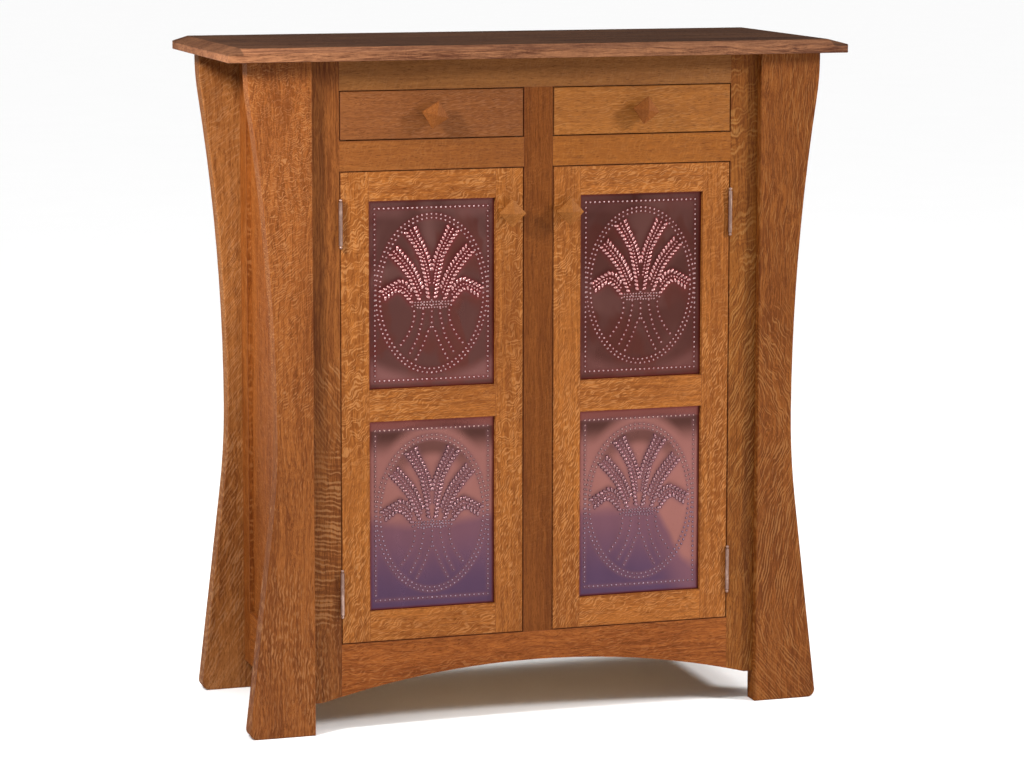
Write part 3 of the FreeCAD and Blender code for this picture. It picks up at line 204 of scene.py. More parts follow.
class Wiring:
    """Adds nodes to a tree. A value sets a socket, and another node's socket is linked to it."""

    def __init__(self, tree):
        self.tree = tree

    def feed(self, sockets, values):
        for name, value in values.items():
            if isinstance(value, bpy.types.NodeSocket):
                self.tree.links.new(value, sockets[name])
            else:
                sockets[name].default_value = value

    def node(self, kind, sockets=(), **properties):
        made = self.tree.nodes.new(kind)
        for name, value in properties.items():
            setattr(made, name, value)
        self.feed(made.inputs, dict(sockets))
        return made

    def geometry(self, kind, sockets=(), **properties):
        """The first output of a new geometry node."""
        return self.node("GeometryNode" + kind, sockets, **properties).outputs[0]

    def math(self, operation, *values, clamp=False):
        made = self.node("ShaderNodeMath", dict(enumerate(values)), operation=operation)
        made.use_clamp = clamp
        return made.outputs[0]

    def times(self, first, *others):
        for other in others:
            first = self.math("MULTIPLY", first, other)
        return first

    def vector(self, operation, *values):
        return self.node("ShaderNodeVectorMath", dict(enumerate(values)), operation=operation).outputs[0]

    def scaled(self, vector, factor):
        return self.node("ShaderNodeVectorMath", {0: vector, "Scale": factor}, operation="SCALE").outputs[0]

    def split(self, vector):
        return self.node("ShaderNodeSeparateXYZ", {0: vector}).outputs

    def join(self, **parts):
        return self.node("ShaderNodeCombineXYZ", parts).outputs[0]

    def attribute(self, name):
        return self.node("ShaderNodeAttribute", attribute_name=name).outputs["Fac"]

    def mix(self, amount, first, second):
        """One colour carried over to another."""
        sockets = {0: amount, 6: first, 7: second}
        return self.node("ShaderNodeMix", sockets, data_type="RGBA").outputs[2]

    def blend(self, amount, first, second):
        """One number carried over to another."""
        return self.node("ShaderNodeMix", {0: amount, 2: first, 3: second}, data_type="FLOAT").outputs[0]

    def noise(self, place, stretch=None, scale=1.0, detail=2.0, distortion=0.0):
        """Noise over a place, finer by a factor for each axis where a stretch is given."""
        if stretch:
            place = self.vector("MULTIPLY", place, stretch)
        sockets = {"Vector": place, "Scale": scale, "Detail": detail, "Distortion": distortion}
        return self.node("ShaderNodeTexNoise", sockets).outputs["Fac"]

    def wander(self, place, stretch, reach):
        """A slow bend to either side of a place, as far as a reach for each axis."""
        sockets = {"Vector": self.vector("MULTIPLY", place, stretch), "Detail": 1}
        chance = self.node("ShaderNodeTexNoise", sockets).outputs["Color"]
        return self.vector("MULTIPLY", self.vector("SUBTRACT", chance, (0.5, 0.5, 0.5)), reach)

    def fade(self, value, start, end, low=0.0, high=1.0):
        """Carries a value from start to end over to low to high, along a soft step."""
        sockets = {"Value": value, "From Min": start, "From Max": end, "To Min": low, "To Max": high}
        return self.node("ShaderNodeMapRange", sockets, interpolation_type="SMOOTHSTEP").outputs["Result"]


def rgba(values, shade=1.0):
    """A colour with its alpha, darkened or lightened by a number or by one for each channel."""
    return (*(float(v) for v in np.clip(np.multiply(values, shade), 0, 1)), 1.0)


def new_group(name, kind, inputs, outputs):
    """A node group with sockets of its own, its wiring and its two ends."""
    tree = bpy.data.node_groups.new(name, kind)
    for way, sockets in (("INPUT", inputs), ("OUTPUT", outputs)):
        for label, socket in sockets:
            tree.interface.new_socket(name=label, in_out=way, socket_type="NodeSocket" + socket)
    wiring = Wiring(tree)
    return tree, wiring, wiring.node("NodeGroupInput").outputs, wiring.node("NodeGroupOutput").inputs


def built_once(name):
    """Names the node group that a function builds, and hands the same one back at later calls."""
    return lambda build: lambda: bpy.data.node_groups.get(name) or build(name)


def new_material(name):
    """A node material, its wiring and its surface shader."""
    material = bpy.data.materials.new(name)
    material.use_nodes = True
    shader = material.node_tree.nodes["Principled BSDF"]
    return material, Wiring(material.node_tree), shader


def object_place(wiring):
    return wiring.node("ShaderNodeTexCoord").outputs["Object"]


def relief(wiring, height, strength, distance):
    bump = wiring.node("ShaderNodeBump", {"Height": height, "Strength": strength, "Distance": distance})
    return bump.outputs["Normal"]


def paint(node, material):
    """Gives a CAD node's object a material."""
    for slot in frame["nodes"][node].material_slots:
        slot.material = material


# ---- Oak ----

AXES = {"x": (1, 0, 0), "y": (0, 1, 0), "z": (0, 0, 1)}

# Which way each kind of board lies: across its face, through it, and along its grain
LAYOUTS = {
    "upright": ("x", "y", "z"),
    "level": ("z", "y", "x"),
    "side upright": ("y", "x", "z"),
    "side level": ("z", "x", "y"),
    "flat": ("y", "z", "x"),
    "flat deep": ("x", "z", "y"),
}


def grain_turn(layout):
    """The rotation that brings a board's own directions to the pattern's X, Y and Z."""
    rows = Matrix([AXES[axis] for axis in LAYOUTS[layout]])
    if rows.determinant() < 0:
        rows[1].negate()
    return rows.to_euler()


# How fine each part of the oak's pattern is: across a board's face, through it and along its grain
GROWTH_LINES = (230, 230, 5)
FINE_LINES = (560, 560, 34)
BROAD_BANDS = (16, 16, 2.2)
FLECK_DRIFTS = (14, 14, 6)
PORE_DASHES = (2100, 2100, 95)


@built_once("Ray fleck")
def fleck_group(name):
    """Ray fleck: slanting streaks, as a value that is high along them and low between them."""
    inputs = [("Place", "Vector")] + [(n, "Float") for n in ("Slant", "Pitch", "Run", "Sweep", "Strength")]
    tree, w, given, made = new_group(name, "ShaderNodeTree", inputs, [("Streaks", "Float")])
    sweep = w.scaled(w.wander(given["Place"], (11, 11, 7), (0.04, 0, 0.04)), given["Sweep"])
    slant = {"Vector": w.vector("ADD", given["Place"], sweep), "Angle": given["Slant"]}
    turned = w.node("ShaderNodeVectorRotate", slant, rotation_type="Y_AXIS").outputs[0]
    place = w.vector("DIVIDE", turned, w.join(X=given["Run"], Y=0.02, Z=given["Pitch"]))
    bands = {"Vector": place, "Scale": 0.27, "Distortion": 3.0, "Detail": 1.0, "Detail Scale": 0.45}
    bands = w.node("ShaderNodeTexWave", bands, bands_direction="Z").outputs["Fac"]
    cloud = w.noise(place, scale=1.5, detail=0.8)
    streaks = w.math("MULTIPLY_ADD", w.math("SUBTRACT", bands, 0.5), 0.22, cloud)
    strong = w.times(w.math("SUBTRACT", streaks, 0.5), given["Strength"])
    w.feed(made, {"Streaks": w.math("ADD", strong, 0.5)})
    return tree


@built_once("Quarter-sawn oak")
def oak_group(name):
    """Quarter-sawn oak: X runs across a board's face, Y through it and Z along its grain."""
    inputs = [("Place", "Vector"), *((n, "Color") for n in ("Light", "Dark", "Fleck", "Pore"))]
    inputs += [(n, "Float") for n in ("Streaks", "Fleck amount", "Figure")]
    outputs = [("Color", "Color"), *((n, "Float") for n in ("Roughness", "Height", "Closed"))]
    tree, w, given, made = new_group(name, "ShaderNodeTree", inputs, outputs)

    # Growth lines, nearly straight, with slow bends
    bend = w.wander(given["Place"], (5, 5, 1.6), (0.03, 0.03, 0))
    bent = w.vector("ADD", given["Place"], w.scaled(bend, given["Figure"]))
    lines = w.noise(bent, GROWTH_LINES, detail=3)
    fine = w.noise(bent, FINE_LINES)
    tone = w.math("ADD", w.times(lines, 0.38), w.times(fine, 0.34))
    tone = w.math("ADD", tone, w.times(w.noise(bent, BROAD_BANDS), 0.28))
    wood = w.mix(w.fade(tone, 0.37, 0.63), given["Dark"], given["Light"])

    # Ray fleck comes in drifts, with darker wood between its streaks
    drift = w.fade(w.noise(given["Place"], FLECK_DRIFTS, detail=1), 0.34, 0.56, 0.35)
    shown = w.times(drift, given["Fleck amount"])
    wood = w.mix(w.times(w.fade(given["Streaks"], 0.46, 0.32), shown), wood, given["Dark"])
    fleck = w.times(w.fade(given["Streaks"], 0.54, 0.67), shown)
    wood = w.mix(fleck, wood, given["Fleck"])

    # Pores: short dark dashes along the grain
    pores = w.fade(w.noise(bent, PORE_DASHES, detail=0), 0.60, 0.70)
    w.feed(made, {
        "Color": w.mix(w.times(pores, 0.55), wood, given["Pore"]),
        "Roughness": w.math("SUBTRACT", w.times(fine, 0.16), w.times(fleck, 0.10)),
        "Height": w.math("SUBTRACT", w.times(lines, 0.35), pores),
        "Closed": w.math("SUBTRACT", 1.0, w.times(pores, 0.7)),
    })
    return tree


@built_once("Board edge")
def edge_group(name):
    """1 along the arrises of the box between two corners, fading to 0 at a distance from them."""
    inputs = [("Place", "Vector"), ("Low", "Vector"), ("High", "Vector"), ("Width", "Float")]
    tree, w, given, made = new_group(name, "ShaderNodeTree", inputs, [("Edge", "Float")])
    below = w.vector("ABSOLUTE", w.vector("SUBTRACT", given["Place"], given["Low"]))
    above = w.vector("ABSOLUTE", w.vector("SUBTRACT", given["High"], given["Place"]))
    x, y, z = w.split(w.vector("MINIMUM", below, above))
    middle = w.math("MAXIMUM", w.math("MINIMUM", x, y), w.math("MINIMUM", w.math("MAXIMUM", x, y), z))
    w.feed(made, {"Edge": w.fade(middle, given["Width"], 0.0)})
    return tree


# Zones of ray fleck up a board: where each starts (m), its slant from the board's width (degrees), the
# spacing and the length of its streaks (m), how much they sweep about, and their strength
PLAIN_FLECK = ((0, 20, 0.0045, 0.018, 0.4, 0.8),)

# How far one zone fades into the next, to either side of its start (m)
ZONE_BLEND = 0.03


def ray_fleck(w, place, grain_place, zones):
    """The streaks of all of a board's zones, one above another."""
    height = w.split(place)[2]
    made = None
    for start, slant, pitch, run, sweep, strength in zones:
        look = {"Place": grain_place, "Slant": math.radians(slant), "Pitch": pitch, "Run": run}
        look.update({"Sweep": sweep, "Strength": strength})
        streaks = w.node("ShaderNodeGroup", look, node_tree=fleck_group()).outputs[0]
        if made is not None:
            streaks = w.blend(w.fade(height, start - ZONE_BLEND, start + ZONE_BLEND), made, streaks)
        made = streaks
    return made


def top_with_painted_shade(w, place, high, wood):
    """Painted shade: the top's flat face is darkened most, and the bevels over its end grain are darker than
    its front edge, partly stain in the end grain and partly painted shade.
    """
    kit = settings().oak
    x, _, z = w.split(place)
    flat = w.fade(z, high.z - 0.0012, high.z - 0.0002)
    inner = high.x - kit.end_bevel
    end = w.fade(w.math("ABSOLUTE", x), inner, inner + 0.003, 0.0, 0.7)
    end = w.times(end, w.fade(z, high.z - 0.0125, high.z - 0.0105))
    return w.mix(w.math("MAXIMUM", flat, end), wood, w.vector("MULTIPLY", wood, (kit.top_flat,) * 3))


# How far apart in the pattern two boards lie (m)
BOARD_STRIDE = (0.83, 1.37, 2.19)

# How far the light and dark tones of the calmest wood move towards each other
CALM_LIGHT, CALM_DARK = 0.4, 0.6

# What the grain adds to the finish's roughness on average, and how deep its pores look (m)
GRAIN_ROUGHNESS = 0.06
PORE_DEPTH = 0.0004


def dress(
    node, layout, finish, zones=PLAIN_FLECK,
    fleck=0.5, shade=1.0, sheen=1.0, calm=0.0, figure=1.0, joint=0.6, ends=True,
):
    """Gives a board stained oak with its own place in the pattern. Calm wood has fainter growth lines. A
    shade is the board's own tone, and on some boards also painted light and shade.
    """
    kit = settings().oak
    material, w, shader = new_material("oak_" + node)
    place = object_place(w)
    number = sorted(frame["nodes"]).index(node)
    turn = {"Location": tuple(step * number for step in BOARD_STRIDE), "Rotation": grain_turn(layout)}
    mapped = w.node("ShaderNodeMapping", {"Vector": place, **turn}).outputs[0]
    light, dark = (np.array(getattr(kit, finish + end)) for end in ("_light", "_dark"))
    light, dark = light + (dark - light) * calm * CALM_LIGHT, dark + (light - dark) * calm * CALM_DARK
    tones = {
        "Place": mapped,
        "Light": rgba(light, shade),
        "Dark": rgba(dark, shade),
        "Fleck": rgba(getattr(kit, finish + "_fleck"), shade),
        "Pore": rgba(kit.inner_dark if finish == "inner" else kit.pore),
        "Streaks": ray_fleck(w, place, mapped, zones),
        "Fleck amount": fleck,
        "Figure": figure,
    }
    grain = w.node("ShaderNodeGroup", tones, node_tree=oak_group()).outputs

    # A board whose ends butt against another has its edge line along its sides only
    low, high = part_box(node)
    if not ends:
        along = "xyz".index(LAYOUTS[layout][2])
        low[along] -= 1
        high[along] += 1
    edge = {"Place": place, "Low": low, "High": high, "Width": kit.joint_width}
    edge = w.node("ShaderNodeGroup", edge, node_tree=edge_group()).outputs[0]
    wood = grain["Color"]
    if finish == "top":
        wood = top_with_painted_shade(w, place, high, wood)
    uneven = w.math("ADD", grain["Roughness"], kit.roughness - GRAIN_ROUGHNESS)
    surface = relief(w, grain["Height"], kit.bump, PORE_DEPTH)
    w.feed(shader.inputs, {
        "Base Color": w.mix(w.times(edge, joint), wood, rgba(kit.joint)),
        "Roughness": uneven,
        "Normal": surface,
        "Specular IOR Level": 0.0,
        "Coat Weight": w.times(grain["Closed"], kit.finish * sheen),
        "Coat Roughness": uneven,
        "Coat Normal": surface,
    })
    paint(node, material)


# ---- The case, the doors and the drawers: their CAD boards, finished in oak ----


class PieSafeOperator:
    """What every step of the pie safe has in common."""

    bl_options = {"REGISTER", "UNDO"}


class PIESAFE_OT_case(PieSafeOperator, bpy.types.Operator):
    """Finish the posts, the face frame and the framed sides"""

    bl_idname = "pie_safe.case"
    bl_label = "Case"

    FLECK = {
        "post_front_left": (
            (0, 87, 0.0045, 0.020, 0.3, 1.1),
            (0.32, 84, 0.0036, 0.014, 0.3, 0.6),
            (0.56, 46, 0.0034, 0.018, 0.3, 0.7),
            (0.76, 36, 0.0032, 0.024, 0.4, 1.0),
            (0.92, 12, 0.0030, 0.010, 0.8, 0.9),
        ),
        "post_front_right": (
            (0, -50, 0.0042, 0.070, 0.2, 1.2),
            (0.10, -72, 0.0042, 0.070, 0.2, 1.2),
            (0.16, 78, 0.0042, 0.070, 0.2, 1.2),
            (0.36, 66, 0.0042, 0.050, 0.4, 1.1),
            (0.50, -62, 0.0040, 0.045, 0.5, 1.0),
            (0.75, 85, 0.0034, 0.045, 0.3, 0.8),
        ),
        "post_back_left": (
            (0, 60, 0.0052, 0.040, 0.2, 1.3),
            (0.50, 54, 0.0032, 0.034, 0.2, 1.0),
            (0.98, 36, 0.0028, 0.020, 0.2, 0.8),
        ),
        "post_back_right": ((0, -58, 0.0055, 0.045, 0.2, 1.2), (0.6, -50, 0.0045, 0.040, 0.2, 1.1)),
        "face_stile_left": (
            (0, 86, 0.0050, 0.018, 0.4, 1.0),
            (0.20, -8, 0.0075, 0.090, 0.3, 1.6),
            (0.50, -56, 0.0055, 0.070, 0.3, 1.2),
            (0.66, 86, 0.0040, 0.060, 0.3, 0.3),
        ),
        "face_stile_right": (
            (0, 80, 0.0045, 0.040, 0.4, 0.9),
            (0.30, 62, 0.0042, 0.060, 0.3, 1.1),
            (0.80, 24, 0.0080, 0.070, 0.8, 1.0),
        ),
        "face_bottom_rail": ((0, 80, 0.0045, 0.020, 0.6, 0.9),),
    }
    RAIL = dict(calm=0.6, ends=False, figure=0.4)
    # A board's shade is partly its own tone and partly painted light: the left posts are made paler, standing
    # in for a sheen of light on them, and the right-hand mid rail lighter, on the side the key light comes
    # from.
    BOARDS = {
        "post_front_left": dict(fleck=0.55, shade=(0.97, 1.05, 1.20), joint=0.2),
        "post_front_right": dict(fleck=0.60, shade=(0.84, 0.88, 0.83), joint=0.2),
        "post_back_left": dict(fleck=0.34, shade=(1.12, 1.42, 2.05), joint=0.2),
        "post_back_right": dict(fleck=0.60, joint=0.2),
        "face_stile_left": dict(fleck=0.60, shade=(0.83, 0.92, 1.06), figure=0.6),
        "face_stile_right": dict(fleck=0.60, shade=(0.93, 1.04, 0.92)),
        "face_stile_centre": dict(fleck=0.12, shade=(0.68, 0.67, 0.56), calm=0.3, figure=0.4),
        "face_top_rail": dict(RAIL, fleck=0.08, shade=(1.00, 1.36, 1.95)),
        "face_mid_rail_left": dict(RAIL, fleck=0.12, shade=(0.96, 1.10, 1.25)),
        "face_mid_rail_right": dict(RAIL, fleck=0.12, shade=(1.20, 1.38, 1.20)),
        "face_bottom_rail": dict(fleck=0.30, shade=1.08, ends=False, figure=0.9),
    }
    SIDE_STILE = ((0, 60, 0.0055, 0.040, 0.3, 1.0),)

    def execute(self, context):
        for node, look in self.BOARDS.items():
            layout = "level" if "rail" in node else "upright"
            dress(node, layout, "case", zones=self.FLECK.get(node, PLAIN_FLECK), **look)
        for hand in HANDS:
            side = "side_%s_" % hand
            for end in ("front", "back"):
                dress(side + end + "_stile", "side upright", "case", zones=self.SIDE_STILE, fleck=0.4)
            for rail in ("top", "bottom"):
                dress(side + rail + "_rail", "side level", "case", fleck=0.3, shade=0.95, ends=False)
            dress(side + "panel", "side upright", "case", fleck=0.3, joint=0)
        return {"FINISHED"}


class PIESAFE_OT_top(PieSafeOperator, bpy.types.Operator):
    """Finish the bevelled top in darker oak, with painted shade on its flat face and end bevels"""

    bl_idname = "pie_safe.top"
    bl_label = "Top"

    def execute(self, context):
        dress("top", "flat", "top", fleck=0.1, figure=0.7, joint=0.0)
        return {"FINISHED"}


class PIESAFE_OT_inside(PieSafeOperator, bpy.types.Operator):
    """Finish the floor, the shelf, the back and the drawers' runners in bare wood"""

    bl_idname = "pie_safe.inside"
    bl_label = "Inside"

    BOARDS = {
        "cupboard_floor": "flat",
        "shelf": "flat",
        "drawer_deck": "flat",
        "drawer_guides": "flat deep",
        "back_panel": "upright",
        "back_top_rail": "level",
    }

    def execute(self, context):
        for node, layout in self.BOARDS.items():
            dress(node, layout, "inner", fleck=0.35, figure=1.6, joint=0.15)
        return {"FINISHED"}


class PIESAFE_OT_drawers(PieSafeOperator, bpy.types.Operator):
    """Finish the drawers: stained fronts on boxes of bare wood"""

    bl_idname = "pie_safe.drawers"
    bl_label = "Drawers"

    FLECK = ((0, 80, 0.0034, 0.020, 0.3, 1.0),)

    def execute(self, context):
        # The left front is darkened: partly its own tone and partly painted shade, standing in for less light
        # on it.
        for hand, shade in (("left", (0.64, 0.66, 0.98)), ("right", (0.94, 1.02, 1.08))):
            drawer = "drawer_%s_" % hand
            look = dict(zones=self.FLECK, fleck=0.25, shade=shade, calm=0.5, figure=0.5, joint=0.5)
            dress(drawer + "front", "level", "door", **look)
            for part, layout in (("sides", "side level"), ("back", "level"), ("bottom", "flat deep")):
                dress(drawer + part, layout, "inner", fleck=0.25, joint=0.1)
        return {"FINISHED"}


class PIESAFE_OT_doors(PieSafeOperator, bpy.types.Operator):
    """Finish the doors' stiles and rails"""

    bl_idname = "pie_safe.doors"
    bl_label = "Doors"

    STILES = {
        "left": ((0, 66, 0.0036, 0.018, 0.5, 1.1), (0.45, 36, 0.0048, 0.022, 1.0, 1.4)),
        "right": ((0, 62, 0.0036, 0.018, 0.4, 1.1), (0.70, 40, 0.0044, 0.020, 0.7, 1.2)),
    }
    RAILS = ((0, 68, 0.0036, 0.018, 0.6, 1.1),)

    def execute(self, context):
        for hand, shade in (("left", 0.97), ("right", 1.03)):
            door = "door_%s_" % hand
            for part in ("hinge_stile", "lock_stile"):
                look = dict(zones=self.STILES[hand], fleck=0.60, shade=shade, figure=0.5)
                dress(door + part, "upright", "door", **look)
            for part in ("top_rail", "mid_rail", "bottom_rail"):
                look = dict(zones=self.RAILS, fleck=0.50, shade=shade * 1.03, figure=0.6, ends=False)
                dress(door + part, "level", "door", **look)
        return {"FINISHED"}


class PIESAFE_OT_knobs(PieSafeOperator, bpy.types.Operator):
    """Finish the four pointed knobs"""

    bl_idname = "pie_safe.knobs"
    bl_label = "Knobs"

    def execute(self, context):
        for hand in HANDS:
            for kind in ("drawer", "door"):
                node = "%s_%s_knob" % (kind, hand)
                look = dict(fleck=0.1, shade=(1.0, 1.1, 1.3), sheen=0.7, calm=0.5, joint=0)
                dress(node, "upright", "case" if kind == "drawer" else "door", **look)
        return {"FINISHED"}


# ---- Punched copper ----

# The punched pattern about a sheet's centre, in millimetres: a border, a double oval, and a sheaf of six
# ears on bending stalks. The left half is given, and the right half mirrors it.
BORDER = (104.5, 153.0)
OVALS = ((102.5, 141.5), (95.5, 134.5))
EARS = (
    # Outer row, then inner row, each from the foot to the tip
    (
        ((-7, -6), (-11, 22), (-20, 65), (-34, 90), (-47, 109)),
        ((-1, 44), (-5, 62), (-14, 84), (-24, 103), (-30, 117)),
    ),
    (
        ((-24, -9), (-33, 12), (-43, 33), (-58, 53), (-75, 71)),
        ((-17, 12), (-25, 31), (-34, 48), (-49, 67), (-63, 82)),
    ),
    (
        ((-38, -14), (-47, -3), (-55, 6), (-66, 7), (-76, 0), (-85, -6)),
        ((-38, 8), (-47, 20), (-58, 25), (-71, 19), (-82, 13), (-92, 7)),
    ),
)
STALKS = (
    ((-36, -22), (-31, -34), (-35, -55), (-45, -74), (-57, -90)),
    ((-17, -18), (-15, -33), (-18, -50), (-25, -77), (-40, -105)),
    ((-2, -60), (-7, -68), (-15, -90), (-29, -117)),
)
SPINE = ((0, -12), (0, -52))
WAIST = (((-36, -15), (36, -15)), ((-31, -20), (31, -20)), ((-26, -25), (26, -25)))
GRAIN_LEAN = 50   # degrees from the row
SLOW_WAVES = 7   # that bend each sheet

# The soft steps (m) from the left-hand door's copper to the right-hand one's, and from the lower sheets' up
BETWEEN_DOORS = (-0.01, 0.01)
BETWEEN_SHEETS = (0.57, 0.60)

# A mark's slopes, from its skirt to its pit: the width and the height where each starts and ends, as shares
PIT_WIDTH = 0.12
PIT_FLOOR = 0.7
SLOPES = (
    (1.3, 1.0, 0, 0.1),
    (1.0, 0.74, 0.1, 0.65),
    (0.74, 0.32, 0.65, 1.0),
    (PIT_WIDTH, 0.32, PIT_FLOOR, 1.0),
)
MARK_SIDES = 8
MERGED_WITHIN = 0.00002   # m

# How far the dimple on a sheet's back lies behind its front (m), and its width as a share of the mark's
DIMPLE_DEPTH = 0.00108
DIMPLE_WIDTH = 0.6


def oval(across, up, points=120):
    turns = [2 * math.pi * n / points for n in range(points)]
    row = [(across * math.sin(t), up * math.cos(t)) for t in turns]
    return row + row[:1]


def halfway(first, second, points=12):
    """The line midway between two rows."""

    def spread(row):
        row = np.array(row, float)
        run = np.concatenate([[0], np.cumsum(np.hypot(*np.diff(row, axis=0).T))])
        at = np.linspace(0, run[-1], points)
        return np.stack([np.interp(at, run, row[:, 0]), np.interp(at, run, row[:, 1])], axis=1)

    return [tuple(p) for p in (spread(first) + spread(second)) / 2]


def mirrored(row, flip):
    return [(x * flip, z) for x, z in row]


def punch_rows():
    """The rows of punches by kind, about a sheet's centre in metres, each with its marks' lean and shine."""
    x, z = BORDER
    dots = [(((-x, z), (x, z)), 0, 1.0), (((-x, -z), (x, -z)), 0, 0.8)]
    dots += [(((side, z - 9.5), (side, 9.5 - z)), 0, 0.8) for side in (-x, x)]
    dots += [(oval(*size), 0, 0.7) for size in OVALS]
    dots += [(SPINE, 0, 0.6)]
    made = {"dots": dots, "beads": [(row, 0, 0.6) for row in WAIST], "seeds": [], "grains": []}
    for flip in (1, -1):
        dots += [(mirrored(row, flip), 0, 0.6) for row in STALKS]
        for outer, inner in EARS:
            made["grains"].append((mirrored(outer, flip), flip * GRAIN_LEAN, 1))
            made["grains"].append((mirrored(inner, flip), -flip * GRAIN_LEAN, 0.9))
            made["seeds"].append((mirrored(halfway(outer, inner), flip), 0, 0.8))
    return {kind: [(in_metres(row), math.radians(lean), shine) for row, lean, shine in rows]
            for kind, rows in made.items()}


def in_metres(row):
    return [(x / 1000, z / 1000) for x, z in row]


def sheet_sights(hand):
    """The centre and half-size of the opening in front of each of a door's sheets."""
    door = "door_%s_" % hand
    stiles = sorted(edge[0] for part in ("lock_stile", "hinge_stile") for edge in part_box(door + part))
    low_x, high_x = stiles[1], stiles[2]
    sights = {}
    for name, below, above in (("lower", "bottom_rail", "mid_rail"), ("upper", "mid_rail", "top_rail")):
        low_z, high_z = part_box(door + below)[1].z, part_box(door + above)[0].z
        centre = ((low_x + high_x) / 2, (low_z + high_z) / 2)
        sights[name] = (centre, ((high_x - low_x) / 2, (high_z - low_z) / 2))
    return sights


def nearness(across, up, kinds, width):
    """1 on the rows of the given kinds, fading to 0 over a width beside them."""
    points = np.array([p for kind in kinds for row, _, _ in punch_rows()[kind] for p in filled(row)])
    gaps = np.hypot(across[..., None] - points[:, 0], up[..., None] - points[:, 1]).min(axis=-1)
    return np.exp(-((gaps / width) ** 2))


def swelling(across, up, half, seed):
    """How far a sheet stands out at points about its centre: a soft swell, slow waves and lifted rows."""
    kit = settings().copper
    u = np.clip(across / half[0], -1, 1)
    v = np.clip(up / half[1], -1, 1)
    inside = np.cos(u * math.pi / 2) * np.cos(v * math.pi / 2)
    fading = np.clip(inside * 8, 0, 1)
    chance = np.random.default_rng(seed)
    waves = np.zeros_like(across)
    for _ in range(SLOW_WAVES):
        turn = chance.uniform(0, math.pi)
        wave = chance.uniform(1.2, 3.2)
        start = chance.uniform(0, 2 * math.pi)
        waves += np.sin((u * math.cos(turn) * 0.7 + v * math.sin(turn)) * wave * math.pi / 1.2 + start)
    ears = nearness(across, up, ("seeds", "grains"), 0.0060)
    dots = nearness(across, up, ("dots",), 0.0035)
    height = kit.relief * (inside**0.6 + 0.10 * waves) + kit.punch_rise * np.maximum(ears, 0.3 * dots)
    return np.maximum(height, 0) * fading


def punch_shade_mask(across, up):
    """Painted shade beside the punched rows at points about a sheet's centre: full among the ears, about half
    along the rows of dots.
    """
    ears = nearness(across, up, ("grains", "seeds"), 0.0062)
    dots = nearness(across, up, ("dots",), 0.0034)
    return np.maximum(ears, dots * 0.55)


def filled(row, step=0.003):
    """A row's points with more between them, no further apart than a step."""
    made = []
    for (x0, z0), (x1, z1) in zip(row, row[1:]):
        count = max(1, math.ceil(math.hypot(x1 - x0, z1 - z0) / step))
        made += [(x0 + (x1 - x0) * n / count, z0 + (z1 - z0) * n / count) for n in range(count)]
    return made + [row[-1]]


def sheet_mesh(bm, node, centre, half, seed, step=0.0026):
    """Adds a sheet in the place of its CAD node: a swollen front, a back that runs beside it, and a rim."""
    low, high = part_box(node)
    columns = round((high.x - low.x) / step) + 1
    rows = round((high.z - low.z) / step) + 1
    x, z = np.meshgrid(np.linspace(low.x, high.x, columns), np.linspace(low.z, high.z, rows))
    out = swelling(x - centre[0], z - centre[1], half, seed)
    worked = punch_shade_mask(x - centre[0], z - centre[1])
    punch_shade_layer = bm.verts.layers.float.get("worked") or bm.verts.layers.float.new("worked")
    faces = {"front": [], "back": []}
    for side, y in (("front", low.y), ("back", high.y)):
        for r in range(rows):
            faces[side].append([bm.verts.new((x[r, c], y - out[r, c], z[r, c])) for c in range(columns)])
            for c in range(columns):
                faces[side][r][c][punch_shade_layer] = worked[r, c]
    front, back = faces["front"], faces["back"]
    for r in range(rows - 1):
        for c in range(columns - 1):
            bm.faces.new((front[r][c], front[r][c + 1], front[r + 1][c + 1], front[r + 1][c]))
            bm.faces.new((back[r][c], back[r + 1][c], back[r + 1][c + 1], back[r][c + 1]))
    rim = [(0, c) for c in range(columns)] + [(r, columns - 1) for r in range(1, rows)]
    rim += [(rows - 1, c) for c in range(columns - 2, -1, -1)] + [(r, 0) for r in range(rows - 2, 0, -1)]
    for (r0, c0), (r1, c1) in zip(rim, rim[1:] + rim[:1]):
        bm.faces.new((front[r0][c0], back[r0][c0], back[r1][c1], front[r1][c1]))
    layer = bm.loops.layers.uv.verify()
    for face in bm.faces:
        for loop in face.loops:
            spot = loop.vert.co
            if low.z - 0.001 <= spot.z <= high.z + 0.001:
                across, up = (spot.x - centre[0]) / half[0], (spot.z - centre[1]) / half[1]
                loop[layer].uv = (across / 2 + 0.5, up / 2 + 0.5)


def new_piece(name, mesh):
    piece = bpy.data.objects.new(name, mesh)
    bpy.context.scene.collection.objects.link(piece)
    return piece


def upper_copper(w, place, clouds, up, aside):
    """Upper sheets: rubbed and reddened patches, and a painted sheen that follows the foot of the oval and
    lies under the head row's corners.
    """
    kit = settings().copper
    rubbed = w.fade(w.math("ADD", clouds, w.times(up, 0.08)), 0.46, 0.68)
    reddened = w.fade(w.noise(place, (17, 17, 11), distortion=0.5), 0.50, 0.62, 0.0, 0.7)
    copper = w.mix(rubbed, rgba(kit.upper), rgba(kit.upper_rubbed))
    copper = w.mix(reddened, copper, rgba(kit.upper_red))
    # Painted sheen along the foot, bending with the oval, and under the head row's corners
    dip = w.math("MULTIPLY_ADD", w.times(aside, aside), 0.20, -0.92)
    foot = w.times(w.fade(w.math("SUBTRACT", up, dip), 0.11, -0.05), w.fade(up, -0.97, -0.90))
    foot = w.times(foot, w.fade(aside, 0.0, 0.5, 0.55, 0.95))
    head = w.times(w.fade(up, 0.76, 0.87), w.fade(aside, 0.25, 0.60, 0.0, 0.50))
    return w.mix(w.math("MAXIMUM", foot, head), copper, rgba(kit.upper_sheen))


